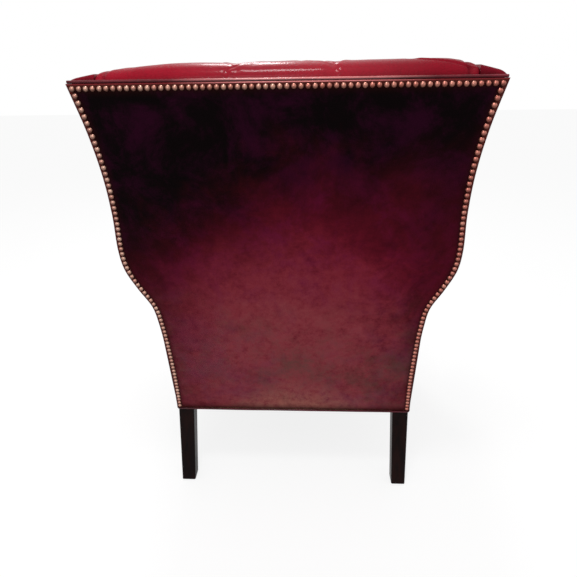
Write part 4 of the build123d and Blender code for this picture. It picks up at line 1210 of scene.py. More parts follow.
class ARMCHAIR_OT_wings(Operator):
    """Padded inside wings with their rounded tops, and the flat outside wings"""

    bl_idname = "armchair.wings"
    bl_label = "Wings"

    def execute(self, context):
        self.inside(settings().upholstery)
        self.tops()
        self.outside()
        return {"FINISHED"}

    def inside(self, work):
        """Padding of the inside wing, gathered at its foot and seamed at its nose."""
        heights = np.linspace(ARM_RAIL_TOP + WING_LIFT, CROWN_BOTTOM, 120)
        net = np.stack([wing_ring(z) for z in heights])
        # The bottom edge follows the arm's roll
        centre, radius = roll_section(net[..., 1])
        over = np.sqrt(np.maximum(radius**2 - (net[..., 0] - centre) ** 2, 0))
        foot = np.where(over > 0, ROLL_HEIGHT + over - 0.002, heights[0])[NOSE_POINTS - 2]
        share = (heights - heights[0])[:, None] / (heights[-1] - heights[0])
        net[..., 2] = np.maximum(foot, heights[0]) * (1 - share) + heights[-1] * share
        away = normals_of(net, net.mean(axis=1, keepdims=True), ring=True)
        place = np.arange(net.shape[1])[None]
        seen = NOSE_POINTS + WING_POINTS
        face = ease(place, 0, 6) * (1 - ease(place, seen - 9, seen))
        tall = ease(share, 0.0, 0.14) * (1 - ease(share, 0.93, 1.0))
        puff = work.arm_puff * face * (0.25 + 0.75 * tall)
        gather_height, seam_depth = 0.0009, 0.0016
        gathers = np.cos(place * 1.15 + 3 * ripples(net, 0.2, 51)) * gather_height * face
        gathers = gathers * (1 - ease(share, 0.02, 0.16))
        upper = np.cos(place * 0.9) * 0.0008 * face * ease(share, 0.86, 0.99)
        puff = puff + gathers + upper + 0.0009 * ripples(net, 0.12, 53) * face
        seam = np.exp(-(((place - 1.5) / 1.2) ** 2)) * seam_depth
        net = net + away * (puff - seam)[..., None]
        # Painted shade at the nose seam, along the foot and in the hollows of the gathers
        dark = seam / seam_depth * 0.6 + (1 - ease(share, 0.0, 0.025)) * 0.7 - gathers * 250
        fold = np.clip(dark, 0, 1)
        form = Form().net(net, fold, ring=True, ends=True)
        add_pair("inside_wing_leather", form, plain_hide(), "wing_padding", "inside_wing", fill=0.75)

    def tops(self):
        """Covers over the wings' top rails, the left one lower."""
        finish = hide("wing_top_hide", settings().leather, crimson=0.5, gloss=0.2)
        for side, turn, full in (("left", 1, 0.78), ("right", -1, 1.1)):
            title = f"wing_top_leather_{side}"
            mesh = self.top_cover(turn, full).mesh(title, merge=SEAM)
            add_piece(title, mesh, finish, "wing_padding", replaced=[f"inside_wing_{side}"], fill=0.75)

    def outside(self):
        """Flat leather on the outside wing, down to the arm's roll."""
        share = np.linspace(0, 1, 110)[:, None]
        ledge = ARM_RAIL_TOP + GAP
        reach = np.linspace(0, 1, 56)
        foot = np.full(len(reach), 0.6)
        for _ in range(14):
            y = self.behind(foot, LEATHER) * (1 - reach) + self.nose(foot) * reach
            y = np.minimum(y, self.behind(foot, FRAME_FRONT))
            centre, radius = roll_section(y)
            over = np.maximum((radius + 0.0006) ** 2 - (wing_x(foot, y) - centre) ** 2, 0)
            foot = (foot + np.where(over > 0, ROLL_HEIGHT + np.sqrt(over), ledge)) / 2
        z = foot + (TOP - foot) * share
        y = self.behind(z, LEATHER) * (1 - reach) + self.nose(z) * reach
        net, fold = self.flat_wing(y, z, z - foot)
        facts = {"thickness": SIDE_HIDE, "sheet": cut_of(net, both("wing_stile"))}
        panel = Form().net(net, fold)
        reach = np.linspace(0, 1, 10)
        z = ledge + (foot[0] - ledge) * share + 0 * reach
        y = self.behind(z, LEATHER) * (1 - reach) + self.behind(z, FRAME_FRONT) * reach
        panel.net(*self.flat_wing(y, z, 0 * z))
        add_pair("outside_wing_leather", panel, plain_hide(), "oxblood_leather", "outside_wing", **facts)

    def top_cover(self, turn, full):
        """Domed top over a wing's rail: round at the nose, full beside the crown, falling outwards."""
        tip, wall = wing_line(CROWN_BOTTOM)[1:]
        half, rear = wall / 2, back_y(CROWN_BOTTOM, CREST_DEPTH)
        nose = tip + half * (1 - np.cos(np.linspace(0.03, math.pi / 2, 14)))
        y = np.concatenate([nose, np.linspace(tip + half, rear, 64)[1:]])[:, None]
        inward = (1 - np.cos(np.linspace(0, math.pi, 34)))[None] / 2
        chord = np.sqrt(1 - (np.maximum(tip + half - y, 0) / half) ** 2)
        crown_front = back_y(CROWN_BOTTOM, PAD_FRONT)
        beside = ease(y, crown_front - 0.016, crown_front + 0.020)
        nose_height, outer_height, inner_rise, shoulder_share = 0.0125, 0.0092, 0.0105, 0.34
        dome = nose_height * chord**0.8 * (1 - (2 * inward - 1) ** 2) ** 0.5
        shoulder = (1 - (1 - np.minimum(1, inward / shoulder_share)) ** 2) ** 0.5
        slope = full * (outer_height * shoulder + inner_rise * inward)
        end = np.clip((y - rear + 0.006) / 0.006, 0, 1)
        lift = (dome * (1 - beside) + slope * beside) * (1 - 0.45 * end**2) ** 0.5
        x = wing_x(CROWN_BOTTOM, y, half) + half * chord * (1 - 2 * inward)
        net = np.stack([x, y + 0 * x, CROWN_BOTTOM + lift], axis=-1)
        net[..., 2] += 0.0007 * ripples(net, 0.07, 55) * np.clip(lift / 0.008, 0, 1)
        # Its sides run down to the wing, beside the crown and at the welt
        net = np.concatenate([net, net[:, -1:]], axis=1)
        net = np.concatenate([net, net[-1:]])
        net[:, -1, 2] = net[-1, :, 2] = CROWN_BOTTOM
        # Painted shade where the cover comes down to the wing and the crown
        fold = 0.75 * np.clip(1 - (net[..., 2] - CROWN_BOTTOM) / 0.004, 0, 1)
        base = net[:, [0, -1]].copy()
        cover = Form().net(net * (turn, 1, 1), fold)
        return cover.net(base * (turn, 1, 1), 1.0)

    def behind(self, z, depth):
        """Depth of the back's plane, a gap further in."""
        return back_y(z, depth + GAP)

    def nose(self, z):
        """Where the flat outside wing meets the padded nose."""
        tip, wall = wing_line(z)[1:]
        return tip + wall / 2 + 0.001

    def flat_wing(self, y, z, low):
        """Points and fold shading of the outside wing, swollen between its edges."""
        edge = np.minimum(np.minimum(self.behind(z, LEATHER) - y, y - self.nose(z)), np.minimum(low, TOP - z))
        net = np.stack([wing_x(z, y), y, z], axis=-1)
        net[..., 0] += 0.0022 * ease(edge, 0.002, 0.05) - 0.0016 * (1 - ease(edge, 0, 0.0035))
        net[..., 0] += 0.0006 * ripples(net, 0.16, 57) * ease(edge, 0.004, 0.04)
        return net, (1 - ease(edge, 0, 0.012)) * 0.7


# Arms
def arm_ring(y, puff):
    """Section of the left inside arm at depth y: up the inside, over the roll, back under the frame."""
    centre, radius = roll_section(y)
    ledge = ARM_RAIL_TOP + GAP
    bottom = RAIL_TOP + GAP
    drop = ROLL_HEIGHT - ledge
    reach = math.sqrt(radius**2 - drop**2)
    frame_x = side_x(y, LEATHER + GAP + ARM_FRAME + GAP)
    up = np.linspace(0, 1, ARM_POINTS)
    x = side_x(y, ARM_WALL) * (1 - up) + (centre - radius) * up - puff * np.sin(math.pi * up) ** 0.8
    inner = np.column_stack([x, bottom + (ROLL_HEIGHT - bottom) * up])
    low = math.atan2(-drop, reach)
    angles = np.linspace(math.pi, low, ROLL_POINTS + 1)[1:]
    full = radius + 0.0012 * np.sin((math.pi - angles) / (math.pi - low) * math.pi)
    roll = np.column_stack([centre + full * np.cos(angles), ROLL_HEIGHT + full * np.sin(angles)])
    ledge_run = np.column_stack([np.linspace(centre + reach, frame_x, 8)[1:], np.full(7, ledge)])
    down = np.column_stack([np.full(16, frame_x), np.linspace(ledge, bottom, 17)[1:]])
    under = np.column_stack([np.linspace(frame_x, side_x(y, ARM_WALL), 8)[1:-1], np.full(6, bottom)])
    section = np.vstack([inner, roll, ledge_run, down, under])
    return np.column_stack([section[:, 0], np.full(len(section), y), section[:, 1]])


def facing_ring(inset, step=0.005):
    """Edge of the left arm front: up the outside, round the scroll, down the inside and across."""
    centre, radius = roll_section(FRONT_Y)
    radius -= inset
    outer, inner = side_x(FRONT_Y, inset), side_x(FRONT_Y, ARM_WALL - inset)
    low = PANEL_BOTTOM + inset
    start = -math.acos(min(1.0, (outer - centre) / radius))
    angles = np.linspace(start, math.pi, 90)
    arc = [(centre + radius * math.cos(a), ROLL_HEIGHT + radius * math.sin(a)) for a in angles]
    return resampled([(outer, low), *arc, (inner, low)], step, loop=True)


class ARMCHAIR_OT_arms(Operator):
    """Padded inside arms with their rolls, flat outside arms and the nailed arm fronts"""

    bl_idname = "armchair.arms"
    bl_label = "Arms"

    def execute(self, context):
        work = settings().upholstery
        self.inside(work)
        self.outside()
        self.fronts(work)
        return {"FINISHED"}

    def inside(self, work):
        """Padding of the inside arm and its roll, gathered behind the arm front."""
        rows = 130
        front = np.stack([arm_ring(FRAME_Y, work.arm_puff)] * rows)
        end_y = back_y(front[0, :, 2], FRAME_FRONT + GAP)
        share = np.linspace(0, 1, rows)[:, None]
        y = FRAME_Y + (end_y - FRAME_Y) * share
        far_ring = arm_ring(float(back_y(ROLL_HEIGHT)), work.arm_puff)
        along = (y - FRAME_Y) / (float(back_y(ROLL_HEIGHT)) - FRAME_Y)
        net = front * (1 - along[..., None]) + far_ring[None] * along[..., None]
        net[..., 1] = y
        place = np.arange(net.shape[1])[None]
        away = normals_of(net, net.mean(axis=1, keepdims=True), ring=True)
        seen = ARM_POINTS + ROLL_POINTS + 1
        shown = ease(place, 0, 4) * (1 - ease(place, seen - 6, seen))
        distance = y - FRAME_Y
        gather_height, gather_reach, tuck_depth, tuck_reach, line_depth = 0.0011, 0.028, 0.003, 0.0035, 0.0009
        gather = np.cos(place * 0.95 + 2 * ripples(net, 0.15, 61)) * np.exp(-distance / gather_reach)
        gather = gather * gather_height
        tuck = np.exp(-distance / tuck_reach) * tuck_depth
        rear = np.cos(place * 0.7) * np.exp(-(end_y - y) / 0.05) * 0.001
        wave = 0.0011 * ripples(net, 0.13, 63) + 0.0005 * ripples(net, 0.05, 64)
        line = np.exp(-(((place - ARM_POINTS + 2) / 2.2) ** 2)) * line_depth
        net = net + away * (shown * (gather + rear + wave - tuck - line))[..., None]
        # Painted shade where the leather tucks behind the arm front, along the seam line and in the gathers'
        # hollows
        fold = np.clip(tuck / tuck_depth * 0.9 - gather * 220 + line * 160, 0, 1) * shown
        form = Form().net(net, fold, ring=True, ends=True)
        add_pair("inside_arm_leather", form, plain_hide(), "arm_padding", "inside_arm", fill=0.8)

    def outside(self):
        """Flat leather on the outside arm."""
        across, up = np.meshgrid(np.linspace(0, 1, 110), np.linspace(0, 1, 56))
        z = PANEL_BOTTOM + (ARM_RAIL_TOP - PANEL_BOTTOM) * up
        y = FRAME_Y + (back_y(z, LEATHER + GAP) - FRAME_Y) * across
        edge = np.minimum(np.minimum(across, 1 - across) * 0.6, np.minimum(up, 1 - up) * 0.32)
        net = np.stack([side_x(y), y, z], axis=-1)
        swell = 0.0028 * ease(edge, 0.0, 0.06) - 0.0014 * (1 - ease(edge, 0, 0.0035))
        net[..., 0] += swell + 0.0007 * ripples(net, 0.17, 65) * ease(edge, 0.004, 0.04)
        # Painted shade along the edges
        panel = Form().net(net, (1 - ease(edge, 0, 0.014)) * 0.75)
        facts = {"thickness": SIDE_HIDE, "sheet": cut_of(net, both("seat_rail_side"))}
        add_pair("outside_arm_leather", panel, plain_hide(), "oxblood_leather", "outside_arm", **facts)

    def fronts(self, work):
        """Padded arm fronts, drawn in by their nails."""
        ring = facing_ring(0)
        low = PANEL_BOTTOM + ARM_WALL / 2
        centre = roll_section(FRONT_Y)[0]
        height = np.clip(ring[:, 1], low, ROLL_HEIGHT)
        middle = side_x(FRONT_Y, ARM_WALL / 2)
        spine = np.column_stack([middle + (centre - middle) * ease(height, 0.46, ROLL_HEIGHT), height])
        insets = np.array([0, 0.8, 2, 3.5, 5.5, 7.5, 9, 10.5, 13, 16, 20, 25]) * MILLIMETRE
        reach = np.linalg.norm(spine - ring, axis=1)
        shares = insets[:, None] / reach[None]
        rest = np.linspace(0, 1, 7)[1:, None]
        shares = np.concatenate([shares, shares[-1:] + (1 - shares[-1:]) * rest])
        flat = ring[None] * (1 - shares[..., None]) + spine[None] * shares[..., None]
        nails = resampled(facing_ring(NAIL_INSET, 0.0025)[:-1], NAIL_PITCH)
        keep = nails[:, 1] > PANEL_BOTTOM + NAIL_INSET * 0.5
        pad_height, pad_start, pad_reach, turn_depth, turn_reach = 0.0042, 0.010, 0.011, 0.0022, 0.0035
        dimples = np.minimum(near(flat, nails[keep], 0.006), 1.1)
        deep = shares * reach[None]
        rise = pad_height * (1 - np.exp(-np.maximum(deep - pad_start, 0) / pad_reach))
        rise -= dimples * work.nail_dimple + turn_depth * np.clip(1 - deep / turn_reach, 0, 1) ** 2
        face = np.stack([flat[..., 0], FRONT_Y - rise, flat[..., 1]], axis=-1)
        wall_rows = np.linspace(FRAME_Y, FRONT_Y + turn_depth, 6)
        wall = [np.column_stack([ring[:, 0], np.full(len(ring), y), ring[:, 1]]) for y in wall_rows[:-1]]
        # Painted shade on the wall, at the edges and round the nails
        wall_fold = np.full((len(wall), len(ring)), 0.5)
        face_fold = np.clip(0.6 * np.exp(-deep / 0.004) + dimples * 0.5, 0, 1)
        form = Form().net(np.concatenate([wall, face]), np.concatenate([wall_fold, face_fold]), ring=True)
        form.fan(np.arange(len(ring)))
        facts = {"merge": 0.0004, "fill": 0.5}
        add_pair("arm_front_leather", form, plain_hide(), "oxblood_leather", "arm_front", **facts)


# Seat
class ARMCHAIR_OT_seat_front(Operator):
    """Padded leather front of the seat between the arm fronts"""

    bl_idname = "armchair.seat_front"
    bl_label = "Seat front"

    def execute(self, context):
        front = FRONT_Y + FACING - BORDER
        half = side_x(front, ARM_WALL - 0.003)
        top = float(DECK_TOP - (FRAME_Y - FRONT_Y) * math.tan(SLOPE))
        across, up = np.meshgrid(np.linspace(-1, 1, 150), np.linspace(0, 1, 46))
        x = half * across
        low = LEG_CLEARANCE + 0.003
        z = low + (top - low) * up
        edge = np.minimum(half * (1 - np.abs(across)), np.minimum(up + 0.03, 1 - up) * (top - low))
        plain = np.stack([x, front + 0 * x, z], axis=-1)
        pad_height, pad_reach, turn_depth, turn_reach = 0.0055, 0.016, 0.003, 0.004
        swell = pad_height * (1 - np.exp(-edge / pad_reach))
        swell -= turn_depth * np.clip(1 - edge / turn_reach, 0, 1) ** 2
        pulls = 0.0006 * np.cos(x / 0.011) * np.exp(-up * 0.13 / 0.02) + 0.0007 * ripples(plain, 0.12, 71)
        plain[..., 1] -= swell + pulls * ease(edge, 0.002, 0.02)
        # Painted shade along the edges
        mesh = Form().net(plain, np.exp(-edge / 0.006) * 0.8).mesh("front_border_leather")
        facts = {"replaced": ["front_border"], "fill": 0.6, "thickness": BORDER_HIDE}
        add_piece("front_border_leather", mesh, plain_hide(), "oxblood_leather", **facts)
        return {"FINISHED"}


def deck_place(x, run, rise):
    """Points on the sloping deck: across, back from its front edge and square up from it."""
    x, run, rise = np.broadcast_arrays(x, run, rise)
    y = FRONT_Y + run * math.cos(SLOPE) + rise * math.sin(SLOPE)
    z = CUSHION_BOTTOM - run * math.sin(SLOPE) + rise * math.cos(SLOPE)
    return np.stack([x, y, z], axis=-1)


DECK_BACK = float(back_y(PAD_FLOOR, PAD_FRONT)) - GAP
CUSHION_FRONT = 0.014
CUSHION_BACK = (DECK_BACK - CUSHION_SLACK - FRONT_Y) / math.cos(SLOPE)
CUSHION_MIDDLE = np.array([0, (CUSHION_FRONT + CUSHION_BACK) / 2])


def cushion_half(run):
    """Half width of the cushion, this far back along the deck."""
    return side_x(FRONT_Y + run * math.cos(SLOPE), ARM_WALL + CUSHION_SLACK)


def cushion_line(outset, step=0.004):
    """Rounded outline of the cushion on the deck: across and back."""
    front, back = CUSHION_FRONT - outset, CUSHION_BACK + outset
    wide, narrow = cushion_half(front) + outset, cushion_half(back) + outset
    corners = np.array([(-wide, front), (wide, front), (narrow, back), (-narrow, back)])
    points = []
    for k in range(4):
        corner, before, after = corners[k], corners[k - 1], corners[(k + 1) % 4]
        start = corner + (before - corner) / np.linalg.norm(before - corner) * CUSHION_CORNER
        end = corner + (after - corner) / np.linalg.norm(after - corner) * CUSHION_CORNER
        for t in np.linspace(0, 1, 14):
            points.append((1 - t) ** 2 * start + 2 * t * (1 - t) * corner + t**2 * end)
    return resampled(points, step, loop=True)


def blown_up(node, name):
    """Copy of a closed CAD solid as an even net, swollen by the pressure of its filling."""
    filling = settings().cushion
    scene = bpy.context.scene
    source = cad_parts[node]
    net = bpy.data.objects.new(name, source.data.copy())
    scene.collection.objects.link(net)
    even = net.modifiers.new("Even net", "REMESH")
    even.mode = "VOXEL"
    even.voxel_size = filling.voxel
    graph = bpy.context.evaluated_depsgraph_get()
    mesh = bpy.data.meshes.new_from_object(net.evaluated_get(graph))
    net.modifiers.clear()
    net.data = mesh
    rest = np.empty(len(mesh.vertices) * 3)
    mesh.vertices.foreach_get("co", rest)
    rest = rest.reshape(-1, 3)
    moved = rest.copy()
    cloth = net.modifiers.new("Filling", "CLOTH")
    cloth.settings.use_pressure = True
    cloth.settings.uniform_pressure_force = filling.pressure
    cloth.settings.effector_weights.gravity = 0
    cloth.settings.quality = 4
    cloth.settings.tension_stiffness = 25
    cloth.settings.compression_stiffness = 25
    cloth.settings.bending_stiffness = 1.5
    cloth.settings.mass = 0.4
    cloth.point_cache.frame_end = filling.frames
    for number in range(1, filling.frames + 1):
        scene.frame_set(number)
    graph = bpy.context.evaluated_depsgraph_get()
    swollen = net.evaluated_get(graph).to_mesh()
    flat = np.empty(len(mesh.vertices) * 3)
    swollen.vertices.foreach_get("co", flat)
    moved = flat.reshape(-1, 3).copy()
    scene.frame_set(1)
    bpy.data.objects.remove(net)
    shift = moved - rest
    length = np.linalg.norm(shift, axis=1, keepdims=True)
    shift *= np.minimum(1, filling.cap / np.maximum(length, 1e-9))
    return mesh, rest + shift


def relaxed(mesh, points, rounds):
    """Points of a mesh, drawn half way to the mean of their neighbours."""
    ends = np.empty(len(mesh.edges) * 2, np.int64)
    mesh.edges.foreach_get("vertices", ends)
    ends = ends.reshape(-1, 2)
    count = np.bincount(ends.ravel(), minlength=len(points))[:, None]
    for _ in range(rounds):
        total = np.zeros_like(points)
        np.add.at(total, ends[:, 0], points[ends[:, 1]])
        np.add.at(total, ends[:, 1], points[ends[:, 0]])
        points = points * 0.5 + total / np.maximum(count, 1) * 0.5
    return points


def on_deck(points):
    """Across, back and up of points, measured on the deck."""
    y, z = points[:, 1] - FRONT_Y, points[:, 2] - CUSHION_BOTTOM
    run = y * math.cos(SLOPE) - z * math.sin(SLOPE)
    rise = y * math.sin(SLOPE) + z * math.cos(SLOPE)
    return np.column_stack([points[:, 0], run, rise])


class ARMCHAIR_OT_seat_cushion(Operator):
    """Loose seat cushion, blown up by its filling, with its piped seams and zip"""

    bl_idname = "armchair.seat_cushion"
    bl_label = "Seat cushion"

    def execute(self, context):
        line = cushion_line(0.0)
        seams = (0.006, CUSHION_HEIGHT - 0.004)
        shell = self.cover(line, seams)
        self.piping(shell, line, seams)
        self.filling()
        self.zip(shell)
        return {"FINISHED"}

    def cover(self, line, seams):
        """Blown-up leather, drawn in at its seams and set flat on the deck."""
        mesh, points = blown_up("seat_cushion_core", "cushion_net")
        flat = on_deck(relaxed(mesh, points, 6))
        flat[:, 2] = np.maximum(flat[:, 2], 0.0012)
        outward = flat[:, :2] - CUSHION_MIDDLE
        outward /= np.maximum(np.linalg.norm(outward, axis=1, keepdims=True), 1e-6)
        nearest = np.min(np.linalg.norm(flat[:, None, :2] - line[None, ::4], axis=-1), axis=1)
        fold = np.zeros(len(flat))
        seam_wide, seam_reach, seam_depth, puckers = 0.0045, 0.02, 0.0025, 62
        for height in seams:
            close = np.exp(-(((flat[:, 2] - height) / seam_wide) ** 2))
            close = close * np.exp(-((nearest / seam_reach) ** 2))
            flat[:, :2] -= outward * close[:, None] * seam_depth
            fold = np.maximum(fold, close)
        top = ease(flat[:, 2], CUSHION_HEIGHT - 0.002, CUSHION_HEIGHT + 0.006)
        plane = np.column_stack([flat[:, :2], 0 * fold])
        rim = np.exp(-nearest / 0.03)
        angle = np.arctan2(outward[:, 1], outward[:, 0])
        pucker = np.cos(angle * puckers + 2 * ripples(plane, 0.2, 81)) * rim * 0.0011
        flat[:, 2] += top * (pucker + 0.0012 * ripples(plane, 0.14, 82) * (1 - rim))
        side = (1 - top) * ease(flat[:, 2], 0.008, 0.02)
        flat[:, :2] += outward * (side * 0.0011 * ripples(flat, 0.06, 83))[:, None]
        points = deck_place(flat[:, 0], flat[:, 1], flat[:, 2])
        mesh.vertices.foreach_set("co", points.ravel())
        # Painted shade along the piped seams
        shade = mesh.attributes.new("fold", "FLOAT", "POINT")
        shade.data.foreach_set("value", (np.clip(fold, 0, 1) * 0.8).astype(np.float32))
        mesh.polygons.foreach_set("use_smooth", np.ones(len(mesh.polygons), bool))
        mesh.materials.clear()
        mesh.name = "seat_cushion_leather"
        facts = {"body": "seat_cushion", "replaced": ["seat_cushion_cover"], "fill": 0.7}
        cushion = add_piece("seat_cushion_leather", mesh, plain_hide(), "cushion_leather", **facts)
        finer = cushion.modifiers.new("Finer", "SUBSURF")
        finer.levels = finer.render_levels = 1

        return BVHTree.FromPolygons([Vector(p) for p in points], [tuple(f.vertices) for f in mesh.polygons])

    def piping(self, shell, line, seams):
        """Covered cords, each laid on the leather along its seam."""
        cords = Form()
        up = np.array((0, math.sin(SLOPE), math.cos(SLOPE)))
        for height in seams:
            path = []
            for x, run in line:
                way = np.array([x, run]) - CUSHION_MIDDLE
                way /= np.linalg.norm(way)
                start = deck_place(x + way[0] * 0.05, run + way[1] * 0.05, height)
                aim = deck_place(x, run, height) - start
                hit = shell.ray_cast(Vector(start), Vector(aim).normalized())[0]
                if hit is None:
                    raise RuntimeError("a cushion seam found no leather under it")
                path.append(np.array(hit) - aim / np.linalg.norm(aim) * CUSHION_CORD * 0.45)
            path = softened(np.array(path), 6)
            # A little painted shade on the piping cords
            cords.net(closed_tube(path, CUSHION_CORD, 12, up), 0.1, ring=True, loop=True)
        mesh = cords.mesh("seat_cushion_piping")
        facts = {"body": "seat_cushion", "replaced": ["seat_cushion_welts"]}
        add_piece("seat_cushion_piping", mesh, plain_hide(), "welt_leather", **facts)

    def filling(self):
        """Filling inside the cover."""
        rings = []
        outline = cushion_line(-0.022, 0.012)
        half = CUSHION_HEIGHT / 2
        for turn in np.linspace(-math.pi / 2, math.pi / 2, 25):
            share = math.cos(turn) ** 0.35
            x, run = (CUSHION_MIDDLE + (outline - CUSHION_MIDDLE) * share).T
            height = half + (half - 0.008) * math.copysign(abs(math.sin(turn)) ** 0.7, turn)
            rings.append(deck_place(x, run, height + 0.012 * max(math.sin(turn), 0) * (1 - share)))
        form = Form().net(np.stack(rings), 0, ring=True, ends=True)
        cotton = felted("filling_wadding", (0.62, 0.57, 0.47), (0.8, 0.76, 0.66))
        mesh = form.mesh("seat_cushion_filling")
        facts = {"body": "seat_cushion", "replaced": ["seat_cushion_core"], "fill": 0.7}
        add_piece("seat_cushion_filling", mesh, cotton, "cushion_filling", **facts)

    def zip(self, shell):
        """Zip with its tapes, teeth and slider in the back side."""
        form = Form()
        middle = CUSHION_HEIGHT / 2
        x = np.linspace(-ZIP_HALF, ZIP_HALF, 96)
        line = []
        for value in x:
            start = deck_place(value, CUSHION_BACK + 0.05, middle)
            hit = shell.ray_cast(Vector(start), Vector((0, -1, 0)))[0]
            if hit is None:
                raise RuntimeError("the zip found no leather under it")
            line.append(hit.y)
        line = np.array(line) + 0.0012
        heights = np.array([-7, -6.8, -2.5, -1.6, 1.6, 2.5, 6.8, 7]) * MILLIMETRE
        depth = np.array([-1.4, 0, 0.4, 0.1, 0.1, 0.4, 0, -1.4]) * MILLIMETRE
        base = deck_place(x, CUSHION_BACK, middle)[:, 2]
        tape = np.stack([x[:, None] + 0 * heights, line[:, None] + depth, base[:, None] + heights], axis=-1)
        form.net(tape, 0)
        cloth = woven("zip_tape", (0.02, 0.004, 0.005), (0.05, 0.01, 0.012), 2400)
        mesh = form.mesh("seat_cushion_zip_tape")
        facts = {"body": "seat_cushion", "replaced": ["seat_cushion_zip"], "thickness": ZIP_TAPE}
        add_piece("seat_cushion_zip_tape", mesh, cloth, "zip_brass", **facts)
        teeth = Form()
        for number, value in enumerate(np.arange(-0.187, 0.187, TOOTH_PITCH)):
            y = float(np.interp(value, x, line)) + 0.0006
            z = float(np.interp(value, x, base)) + (0.0006 if number % 2 else -0.0006)
            path = [(value, y, z - 0.0019), (value, y + 0.0004, z), (value, y, z + 0.0019)]
            teeth.net(tube(path, (0.0007, 0.0008, 0.0007), 6, up=(0, 1, 0)), 0, ring=True, ends=True)
        # The slider waits at one end, with its tab hanging down
        at, y, z = x[6], float(line[6]) + 0.0016, float(base[6])
        slider = [(at - 0.004, y, z), (at + 0.002, y + 0.0006, z), (at + 0.005, y, z)]
        teeth.net(tube(slider, (0.0026, 0.0034, 0.0022), 10, flat=0.6), 0, ring=True, ends=True)
        hang = at - 0.001
        tab = [(hang, y + 0.001, z), (hang, y + 0.0014, z - 0.01), (hang, y + 0.001, z - 0.021)]
        teeth.net(tube(tab, (0.0012, 0.003, 0.0036), 10, up=(0, 1, 0), flat=0.3), 0, ring=True, ends=True)
        brass = metal("zip_metal", (0.5, 0.3, 0.1), (0.16, 0.08, 0.03), 0.34)
        mesh = teeth.mesh("seat_cushion_zip_teeth")
        add_piece("seat_cushion_zip_teeth", mesh, brass, "zip_brass", body="seat_cushion")


